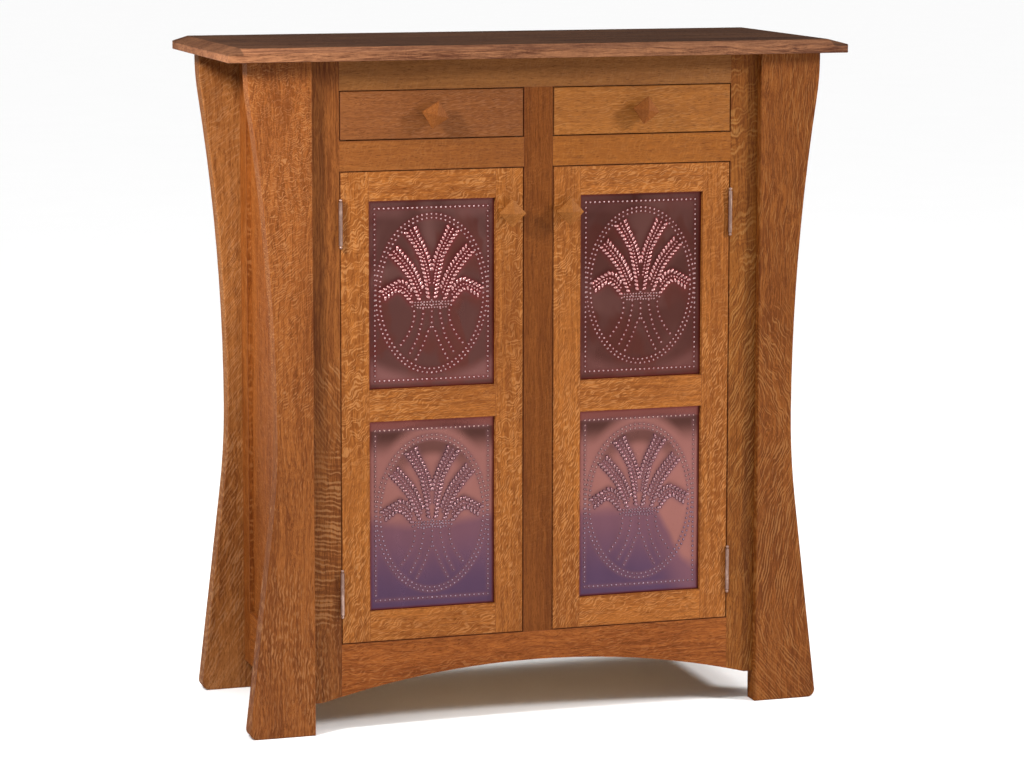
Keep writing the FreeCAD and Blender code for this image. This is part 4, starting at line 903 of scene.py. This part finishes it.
def lower_copper(w, clouds, right, across, up):
    """Lower sheets: rose over violet, which starts far lower at the right-hand sheet's edge."""
    kit = settings().copper
    slope = w.times(w.fade(across, 0.15, 0.90, 0.0, -0.66), right)
    drift = w.times(w.math("SUBTRACT", clouds, 0.5), 0.25)
    level = w.math("ADD", w.math("SUBTRACT", up, slope), drift)
    tint = w.mix(w.fade(level, -0.85, -0.10), rgba(kit.lower_foot), rgba(kit.lower_waist))
    copper = w.mix(w.fade(level, -0.16, 0.02), tint, rgba(kit.lower))

    # Painted shade under the head row's corners and in a crescent under the head of the oval
    ring = w.join(X=w.math("DIVIDE", across, 0.80), Y=w.math("DIVIDE", up, 0.77))
    ring = w.node("ShaderNodeVectorMath", {0: ring}, operation="LENGTH").outputs["Value"]
    corner = w.times(w.fade(ring, 1.12, 1.32), w.fade(up, 0.915, 0.885), w.fade(up, 0.58, 0.84))
    crescent = w.times(w.fade(ring, 0.74, 0.90), w.fade(ring, 1.05, 0.98), w.fade(up, 0.38, 0.66, 0.0, 0.75))
    copper = w.mix(w.math("MAXIMUM", corner, crescent), copper, rgba(kit.lower_shade))
    # Painted shade of the rail above, in the rim colour, along the head of the lower sheets
    return w.mix(w.fade(up, 0.885, 0.915, 0.0, 0.55), copper, rgba(kit.rim))


def sheet_copper():
    """Aged copper: dark on the upper sheets, and from rose to violet on the lower ones."""
    kit = settings().copper
    material, w, shader = new_material("aged_copper")
    place = object_place(w)
    x, _, z = w.split(place)
    clouds = w.noise(place, (8, 8, 7), distortion=0.3)
    smears = w.noise(place, (30, 30, 12), detail=4)

    # Across and up the sheet, each from -1 to 1 over the opening in front of it
    chart = w.split(w.node("ShaderNodeUVMap", uv_map="sheet").outputs[0])
    across, up = (w.math("MULTIPLY_ADD", chart[axis], 2.0, -1.0) for axis in (0, 1))
    aside = w.math("ABSOLUTE", across)

    right = w.fade(x, *BETWEEN_DOORS)
    # Painted shade beside the punched rows: dark red on the upper sheets, darker mauve on the lower ones
    worked = w.times(w.attribute("worked"), 0.95)
    upper = w.mix(worked, upper_copper(w, place, clouds, up, aside), rgba(kit.upper_ears))
    lower = w.mix(worked, lower_copper(w, clouds, right, across, up), rgba(kit.lower_ears))
    upper = w.mix(w.times(right, 0.5), upper, rgba(kit.upper_right))
    both = w.mix(w.fade(z, *BETWEEN_SHEETS), lower, upper)
    # Painted reflection of the frame and painted shade beside it, in the rim colour, along every sheet's
    # edges
    beside = w.math("MAXIMUM", w.fade(aside, 0.935, 0.995), w.fade(w.math("ABSOLUTE", up), 0.962, 0.998))
    both = w.mix(w.times(beside, 0.8), both, rgba(kit.rim))
    speck = w.fade(w.noise(place, (700, 700, 700)), 0.62, 0.75, 0, 0.25)
    w.feed(shader.inputs, {
        "Base Color": w.mix(speck, both, rgba(kit.upper)),
        "Metallic": 0.9,
        "Roughness": w.fade(smears, 0.3, 0.7, 0.27, 0.38),
        "Normal": relief(w, smears, 0.15, 0.002),
    })
    return material


class PIESAFE_OT_copper_sheets(PieSafeOperator, bpy.types.Operator):
    """Make the copper sheets, swollen between their punched rows"""

    bl_idname = "pie_safe.copper_sheets"
    bl_label = "Copper sheets"

    def execute(self, context):
        material = sheet_copper()
        for hand in HANDS:
            bm = bmesh.new()
            nodes = []
            for number, (name, (centre, half)) in enumerate(sheet_sights(hand).items()):
                nodes.append("door_%s_copper_%s" % (hand, name))
                sheet_mesh(bm, nodes[-1], centre, half, seed=11 + 2 * number + (hand == "right"))
            mesh = bpy.data.meshes.new("door_%s_copper_sheets" % hand)
            bm.normal_update()
            bm.to_mesh(mesh)
            bm.free()
            mesh.uv_layers[0].name = "sheet"
            mesh.materials.append(material)
            mesh.shade_smooth()
            piece = new_piece(mesh.name, mesh)
            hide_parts(*nodes)
            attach(piece, "door_" + hand)
        return {"FINISHED"}


def facing(w, outward, aside):
    """The rotation that turns a copy's Z outward, and its X as far aside as that allows."""
    axes = {"Primary Axis": outward, "Secondary Axis": aside}
    return w.node("FunctionNodeAxesToRotation", axes, primary_axis="Z", secondary_axis="X").outputs[0]


def chance_vector(w, low, high, seed):
    """A vector for each copy, at random between two corners."""
    sockets = {"Min": low, "Max": high, "Seed": seed}
    return w.node("FunctionNodeRandomValue", sockets, data_type="FLOAT_VECTOR").outputs[0]


def real_copies(w, material, **placing):
    """Copies of an instance on points, made real and given a material."""
    real = w.geometry("RealizeInstances", {"Geometry": w.geometry("InstanceOnPoints", placing)})
    return w.geometry("SetMaterial", {"Geometry": real, "Material": material})


@built_once("Punched rows")
def punch_tree(name):
    """Sets a burr at every step of the given rows, on the surface of the sheet behind them."""
    inputs = [("Rows", "Geometry"), ("Sheet", "Object"), ("Pitch", "Float"), ("Radius", "Float")]
    inputs += [("Stretch", "Float"), ("Height", "Float"), ("Seed", "Int"), ("Material", "Material")]
    tree, w, given, made = new_group(name, "GeometryNodeTree", inputs, [("Burrs", "Geometry")])

    curve = w.geometry("MeshToCurve", {"Mesh": given["Rows"]})
    even = w.geometry("ResampleCurve", {"Curve": curve, "Length": given["Pitch"]}, mode="LENGTH")
    points = w.node("GeometryNodeCurveToPoints", {"Curve": even}, mode="EVALUATED").outputs
    sheet = w.node("GeometryNodeObjectInfo", {"Object": given["Sheet"]}, transform_space="RELATIVE")
    ray = {"Target Geometry": sheet.outputs["Geometry"], "Ray Direction": (0, 1, 0), "Ray Length": 0.1}
    ray["Source Position"] = w.geometry("InputPosition")
    hit = w.node("GeometryNodeRaycast", ray).outputs

    # Each point's direction along its row, and the sheet's face behind it
    kept = {"Tangent": points["Tangent"], "Outward": hit["Hit Normal"], "Footing": hit["Hit Position"]}
    along = w.node("GeometryNodeCaptureAttribute", {"Geometry": points["Points"]}, domain="POINT")
    for label in kept:
        along.capture_items.new("VECTOR", label)
    w.feed(along.inputs, kept)
    along = along.outputs
    seated = w.geometry("SetPosition", {"Geometry": along[0], "Position": along["Footing"]})
    lean = w.geometry("InputNamedAttribute", {"Name": "lean"}, data_type="FLOAT")
    pointing = {"Vector": along["Tangent"], "Axis": along["Outward"], "Angle": lean}
    pointing = w.node("ShaderNodeVectorRotate", pointing).outputs[0]

    # One mark: a flat skirt, a dome of two slopes and a small pit in its crown
    mark = w.node("GeometryNodeJoinGeometry")

    def add(part, **move):
        moved = w.geometry("Transform", {"Geometry": part, **move})
        w.tree.links.new(moved, mark.inputs[0])

    for foot, head, low, high in SLOPES:
        sizes = {"Vertices": MARK_SIDES, "Depth": w.times(given["Height"], high - low)}
        sizes["Radius Bottom"] = w.times(given["Radius"], foot)
        sizes["Radius Top"] = w.times(given["Radius"], head)
        slope = w.geometry("MeshCone", sizes, fill_type="NONE")
        if foot < head:
            slope = w.geometry("FlipFaces", {"Mesh": slope})
        add(slope, Translation=w.join(Z=w.times(given["Height"], low)))
    pit = {"Vertices": MARK_SIDES, "Radius": w.times(given["Radius"], PIT_WIDTH)}
    pit = w.geometry("MeshCircle", pit, fill_type="NGON")
    add(pit, Translation=w.join(Z=w.times(given["Height"], PIT_FLOOR)))

    # The dimple on the sheet's back, which faces the other way
    dimple = w.geometry("MeshCircle", {"Vertices": MARK_SIDES, "Radius": given["Radius"]}, fill_type="NGON")
    back = w.geometry("FlipFaces", {"Mesh": dimple})
    add(back, Translation=(0, 0, -DIMPLE_DEPTH), Scale=(DIMPLE_WIDTH, DIMPLE_WIDTH, 1))
    joined = w.geometry("MergeByDistance", {"Geometry": mark.outputs[0], "Distance": MERGED_WITHIN})

    # How high each point lies on its mark, and 0 in the pit
    x, y, z = w.split(w.geometry("InputPosition"))
    out = w.math("SQRT", w.math("ADD", w.math("POWER", x, 2.0), w.math("POWER", y, 2.0)))
    crown = w.math("GREATER_THAN", out, w.times(given["Radius"], 0.2))
    rise = w.times(w.math("DIVIDE", z, given["Height"], clamp=True), crown)
    shaped = w.geometry("StoreNamedAttribute", {"Geometry": joined, "Name": "rise", "Value": rise})
    stretch = w.join(X=given["Stretch"], Y=1.0, Z=1.0)
    shaped = w.geometry("Transform", {"Geometry": shaped, "Scale": stretch})
    shaped = w.geometry("SetShadeSmooth", {"Geometry": shaped})

    uneven = chance_vector(w, (0.88, 0.9, 0.8), (1.1, 1.1, 1.15), given["Seed"])
    placing = {"Points": seated, "Instance": shaped, "Scale": uneven}
    placing["Rotation"] = facing(w, along["Outward"], pointing)
    w.feed(made, {"Burrs": real_copies(w, given["Material"], **placing)})
    return tree


def made_by_nodes(name, mesh, tree, values):
    """Runs a node tree over a mesh, with its inputs set, and returns the result as a plain piece."""
    source = new_piece(name + "_source", mesh)
    modifier = source.modifiers.new("Nodes", "NODES")
    modifier.node_group = tree
    for socket in tree.interface.items_tree:
        if socket.in_out == "INPUT" and socket.name in values:
            modifier[socket.identifier] = values[socket.name]
    bpy.context.view_layer.update()
    graph = bpy.context.evaluated_depsgraph_get()
    result = bpy.data.meshes.new_from_object(source.evaluated_get(graph), depsgraph=graph)
    result.name = name
    source.modifiers.remove(modifier)
    bpy.data.objects.remove(source)
    if not result.polygons:
        raise RuntimeError(name + " came out empty")
    return new_piece(name, result)


def mark_copper(kind):
    """Fresh copper on top of the marks of one kind, partly painted highlight, and painted shade at their foot
    and in their pits.
    """
    kit = settings().copper
    round_mark = kind in ("dots", "beads")
    bright = (kit.dot_lower, kit.dot) if round_mark else (kit.grain_lower, kit.grain)
    material, w, shader = new_material("mark_copper_" + kind)
    place = object_place(w)
    height = w.split(place)[2]
    lowest = w.fade(height, 0.44, 0.32, 0.0, 1.0 if round_mark else 0.3)
    upper = w.fade(height, *BETWEEN_SHEETS)
    top = w.mix(upper, w.mix(lowest, rgba(bright[0]), rgba(kit.dot_foot)), rgba(bright[1]))
    foot = w.mix(upper, rgba(kit.foot_lower), rgba(kit.foot))
    tarnish = w.fade(w.noise(place, (60, 60, 60), detail=3), 0.45, 0.70, 1.0, 0.65)
    # Fresh copper with painted highlight on each mark's top, as strong as its row's shine; painted shade at
    # its foot and in its pit
    fresh = w.times(w.fade(w.attribute("rise"), 0.12, 0.75), tarnish, w.attribute("shine"))
    scratches = w.noise(place, (900, 900, 900))
    rough = 0.38 if round_mark else 0.26
    w.feed(shader.inputs, {
        "Base Color": w.mix(fresh, foot, top),
        "Metallic": 0.9,
        "Roughness": w.fade(scratches, 0.3, 0.7, rough, rough + 0.14),
        "Normal": relief(w, scratches, 0.2, 0.0003),
    })
    return material


class PIESAFE_OT_punches(PieSafeOperator, bpy.types.Operator):
    """Punch the border, the oval and the sheaf of ears into the sheets"""

    bl_idname = "pie_safe.punches"
    bl_label = "Punch marks"

    def execute(self, context):
        kit = settings().copper
        materials = {kind: mark_copper(kind) for kind in punch_rows()}
        sizes = {
            "dots": (kit.dot_pitch, kit.dot_radius, 1.0, kit.dot_height),
            "beads": (kit.bead_pitch, kit.seed_radius, 1.0, kit.dot_height),
            "seeds": (kit.seed_pitch, kit.seed_radius, 1.0, kit.dot_height),
            "grains": (kit.grain_pitch, kit.grain_radius, kit.grain_stretch, kit.grain_height),
        }
        for hand in HANDS:
            sheet = bpy.data.objects["door_%s_copper_sheets" % hand]
            in_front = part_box("door_%s_lock_stile" % hand)[0].y - 0.01
            for seed, (kind, rows) in enumerate(punch_rows().items()):
                pitch, radius, stretch, height = sizes[kind]
                verts, edges = [], []
                looks = {"lean": [], "shine": []}
                for (centre_x, centre_z), _ in sheet_sights(hand).values():
                    for row, lean, shine in rows:
                        first = len(verts)
                        verts += [(centre_x + px, in_front, centre_z + pz) for px, pz in row]
                        edges += [(n, n + 1) for n in range(first, len(verts) - 1)]
                        looks["lean"] += [lean] * len(row)
                        looks["shine"] += [shine] * len(row)
                mesh = bpy.data.meshes.new("rows")
                mesh.from_pydata(verts, edges, [])
                for look, values in looks.items():
                    mesh.attributes.new(look, "FLOAT", "POINT").data.foreach_set("value", values)
                values = {"Sheet": sheet, "Pitch": pitch, "Radius": radius, "Stretch": stretch}
                values.update({"Height": height, "Seed": seed, "Material": materials[kind]})
                piece = made_by_nodes("door_%s_punched_%s" % (hand, kind), mesh, punch_tree(), values)
                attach(piece, "door_" + hand)
        return {"FINISHED"}


# ---- Hinges and small fittings ----


def worn_metal(name, base, rubbed, roughness):
    """Metal with a worn finish: rubbed patches, fine scratches and a slightly uneven sheen."""
    material, w, shader = new_material(name)
    place = object_place(w)
    patches = w.fade(w.noise(place, (120, 120, 60), detail=4), 0.45, 0.68)
    scratches = w.noise(place, (1500, 1500, 120), detail=3)
    w.feed(shader.inputs, {
        "Base Color": w.mix(patches, rgba(base), rgba(rubbed)),
        "Metallic": 0.9,
        "Roughness": w.fade(scratches, 0.3, 0.7, roughness - 0.08, roughness + 0.1),
        "Normal": relief(w, scratches, 0.15, 0.0002),
    })
    return material


def catch_plastic():
    """Moulded plastic with a fine even texture."""
    material, w, shader = new_material("catch_plastic")
    place = object_place(w)
    texture = w.noise(place, (1600, 1600, 1600))
    tint = w.fade(w.noise(place, (60, 60, 60)), 0.3, 0.7)
    plastic = settings().fittings.plastic
    w.feed(shader.inputs, {
        "Base Color": w.mix(tint, rgba(plastic, 0.85), rgba(plastic, 1.15)),
        "Roughness": w.fade(texture, 0.3, 0.7, 0.42, 0.55),
        "Normal": relief(w, texture, 0.25, 0.0002),
    })
    return material


def slotted_head(radius, rise, slot):
    """Two halves of a slotted screw head, facing +Z."""
    bm = bmesh.new()
    start = math.asin(slot / 2 / radius)
    turns = [start + (math.pi - 2 * start) * n / 10 for n in range(11)]
    for side in (-1, 1):
        rings = []
        for level, width in ((0, radius), (rise * 0.5, radius), (rise, radius * 0.94)):
            spots = [(width * math.cos(t), side * max(slot / 2, width * math.sin(t)), level) for t in turns]
            rings.append([bm.verts.new(spot) for spot in spots])
        for lower, upper in zip(rings, rings[1:]):
            for n in range(len(turns)):
                beside = (n + 1) % len(turns)
                bm.faces.new((lower[n], lower[beside], upper[beside], upper[n]))
        bm.faces.new(rings[-1])
        bm.faces.new(rings[0][::-1])
    bmesh.ops.recalc_face_normals(bm, faces=bm.faces)
    mesh = bpy.data.meshes.new("slotted_head")
    bm.to_mesh(mesh)
    bm.free()
    return mesh


@built_once("Screw heads")
def screw_tree(name):
    """Sets a screw head on every point, facing along its outward attribute, its slot at a chance angle."""
    inputs = [("Places", "Geometry"), ("Head", "Object"), ("Seed", "Int"), ("Material", "Material")]
    tree, w, given, made = new_group(name, "GeometryNodeTree", inputs, [("Screws", "Geometry")])
    points = w.geometry("MeshToPoints", {"Mesh": given["Places"]})
    head = w.node("GeometryNodeObjectInfo", {"Object": given["Head"]}).outputs["Geometry"]
    outward = w.geometry("InputNamedAttribute", {"Name": "outward"}, data_type="FLOAT_VECTOR")
    turn = facing(w, outward, chance_vector(w, (0, -1, -1), (0, 1, 1), given["Seed"]))
    heads = real_copies(w, given["Material"], Points=points, Instance=head, Rotation=turn)
    w.feed(made, {"Screws": heads})
    return tree


class PIESAFE_OT_hinges(PieSafeOperator, bpy.types.Operator):
    """Finish the butt hinges and slot their screws"""

    bl_idname = "pie_safe.hinges"
    bl_label = "Hinges"

    SCREWS_ALONG = (0.2, 0.5, 0.8)
    LEAF_HEIGHT = 0.076
    LEAF_GAP = 0.0002

    def places(self, hand, outward):
        """The screws' centres on the leaves whose bare face looks along X as outward says."""
        joint = next(j for j in frame["joints"] if j["name"] == "door_%s_hinge" % hand)
        middle_x = joint["pos_m"][0] - outward * self.LEAF_GAP / 2
        low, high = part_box("door_%s_hinge_leaves" % hand)
        middle_y = (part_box("door_%s_hinge_stile" % hand)[0].y + high.y) / 2
        for foot in (low.z, high.z - self.LEAF_HEIGHT):
            for along in self.SCREWS_ALONG:
                yield (middle_x, middle_y, foot + along * self.LEAF_HEIGHT)

    def execute(self, context):
        kit = settings().fittings
        material = worn_metal("antique_bronze", kit.hinge, kit.hinge_rubbed, roughness=0.38)
        for node in ("door_left_hinge_leaves", "door_right_hinge_leaves", "hinge_frame_leaves", "hinge_pins"):
            paint(node, material)
        head = new_piece("slotted_head", slotted_head(kit.screw_radius, kit.screw_rise, kit.slot_width))
        spots = {"carcase": [], "door_left": [], "door_right": []}
        for hand in HANDS:
            side = SIDE_OF[hand]
            spots["carcase"] += [(place, -side) for place in self.places(hand, -side)]
            spots["door_" + hand] += [(place, side) for place in self.places(hand, side)]
        for body, listed in spots.items():
            mesh = bpy.data.meshes.new("places")
            mesh.from_pydata([place for place, _ in listed], [], [])
            ways = [value for _, way in listed for value in (way, 0, 0)]
            mesh.attributes.new("outward", "FLOAT_VECTOR", "POINT").data.foreach_set("vector", ways)
            values = {"Head": head, "Seed": kit.slot_seed, "Material": material}
            piece = made_by_nodes(body + "_hinge_screws", mesh, screw_tree(), values)
            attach(piece, body)
        bpy.data.objects.remove(head)
        return {"FINISHED"}


class PIESAFE_OT_fittings(PieSafeOperator, bpy.types.Operator):
    """Finish the shelf pins and the door catches"""

    bl_idname = "pie_safe.fittings"
    bl_label = "Shelf pins and catches"

    def execute(self, context):
        steel = settings().fittings.steel
        dulled = [v * 0.8 for v in steel]
        paint("shelf_pins", worn_metal("pin_steel", steel, dulled, roughness=0.3))
        paint("door_catches", catch_plastic())
        return {"FINISHED"}


# ---- Stage ----


class PIESAFE_OT_stage(PieSafeOperator, bpy.types.Operator):
    """Set the floor, the soft light and the camera"""

    bl_idname = "pie_safe.stage"
    bl_label = "Stage"

    # The camera's own directions: to its right, up, and towards what it looks at
    RIGHT = (0.951528, -0.307557, 0.001748)
    UP = (0.037276, 0.120964, 0.991957)
    AHEAD = (0.305295, 0.943809, -0.126565)
    SHIFT = (-0.0164, -0.0921)
    FLOOR_RADIUS = 60
    BACKDROP = 0.95

    # The soft boxes: place, target, size (m) and spread (degrees)
    BOXES = {
        "key": ((3.60, -2.34, 2.55), (0, 0, 0.9), 0.8, 180),
        "fill": ((-1.45, -0.75, 1.75), (-0.75, -0.15, 1.05), 0.25, 75),
    }

    def floor(self, kit):
        bm = bmesh.new()
        bmesh.ops.create_circle(bm, cap_ends=True, segments=96, radius=self.FLOOR_RADIUS)
        mesh = bpy.data.meshes.new("floor")
        bm.to_mesh(mesh)
        bm.free()
        material, w, shader = new_material("pale_floor")
        grain = w.noise(object_place(w), (3, 3, 3), detail=3)
        colour = w.mix(grain, rgba(kit.floor, 0.99), rgba(kit.floor, 1.01))
        w.feed(shader.inputs, {"Base Color": colour, "Roughness": 0.9, "Specular IOR Level": 0.1})
        mesh.materials.append(material)
        new_piece("floor", mesh)

    def sky(self, kit):
        """Soft light that is brightest overhead and weaker near the horizon."""
        world = bpy.data.worlds.new("soft_sky")
        bpy.context.scene.world = world
        world.use_nodes = True
        w = Wiring(world.node_tree)
        up = w.split(w.node("ShaderNodeTexCoord").outputs["Generated"])[2]
        light = w.fade(up, 0.45, 1.0, kit.horizon, kit.zenith)
        seen = w.node("ShaderNodeLightPath").outputs["Is Camera Ray"]
        backdrop = world.node_tree.nodes["Background"].inputs
        w.feed(backdrop, {"Color": (1, 1, 1, 1), "Strength": w.blend(seen, light, self.BACKDROP)})

    def soft_box(self, name, power, place, target, size, spread):
        light = bpy.data.lights.new(name, "AREA")
        light.size = size
        light.spread = math.radians(spread)
        light.energy = power
        made = new_piece(name, light)
        made.visible_camera = False
        made.location = place
        towards = Vector(target) - Vector(place)
        made.rotation_euler = towards.to_track_quat("-Z", "Y").to_euler()

    def camera(self, kit):
        lens = bpy.data.cameras.new("camera")
        lens.lens = kit.lens
        lens.shift_x, lens.shift_y = self.SHIFT
        lens.clip_end = 200
        made = new_piece("camera", lens)
        axes = Matrix((self.RIGHT, self.UP, [-v for v in self.AHEAD])).transposed().to_4x4()
        made.matrix_world = Matrix.Translation(kit.camera) @ axes
        bpy.context.scene.camera = made

    def execute(self, context):
        kit = settings().stage
        self.floor(kit)
        self.sky(kit)
        for name, shape in self.BOXES.items():
            self.soft_box(name + "_light", getattr(kit, name), *shape)
        self.camera(kit)
        context.scene.view_settings.view_transform = "Standard"
        return {"FINISHED"}


# ---- Panel and registration ----

STEPS = (
    PIESAFE_OT_case,
    PIESAFE_OT_top,
    PIESAFE_OT_inside,
    PIESAFE_OT_drawers,
    PIESAFE_OT_doors,
    PIESAFE_OT_knobs,
    PIESAFE_OT_copper_sheets,
    PIESAFE_OT_punches,
    PIESAFE_OT_hinges,
    PIESAFE_OT_fittings,
    PIESAFE_OT_stage,
)


class PIESAFE_PT_panel(bpy.types.Panel):
    """The steps and settings of the pie safe"""

    bl_label = "Pie Safe"
    bl_idname = "PIESAFE_PT_panel"
    bl_space_type = "VIEW_3D"
    bl_region_type = "UI"
    bl_category = "Pie Safe"

    def draw(self, context):
        for step in STEPS:
            self.layout.operator(step.bl_idname)
        for group in ("oak", "copper", "fittings", "stage"):
            kit = getattr(context.scene.pie_safe, group)
            box = self.layout.box()
            box.label(text=group.capitalize())
            for name in kit.__annotations__:
                box.prop(kit, name)


CLASSES = (
    OakSettings,
    CopperSettings,
    FittingSettings,
    StageSettings,
    PieSafeSettings,
    *STEPS,
    PIESAFE_PT_panel,
)


def register():
    for made in CLASSES:
        bpy.utils.register_class(made)
    bpy.types.Scene.pie_safe = PointerProperty(type=PieSafeSettings)


def unregister():
    del bpy.types.Scene.pie_safe
    for made in reversed(CLASSES):
        bpy.utils.unregister_class(made)


def main():
    register()
    for step in STEPS:
        group, name = step.bl_idname.split(".")
        getattr(getattr(bpy.ops, group), name)()


if __name__ == "__main__":
    main()
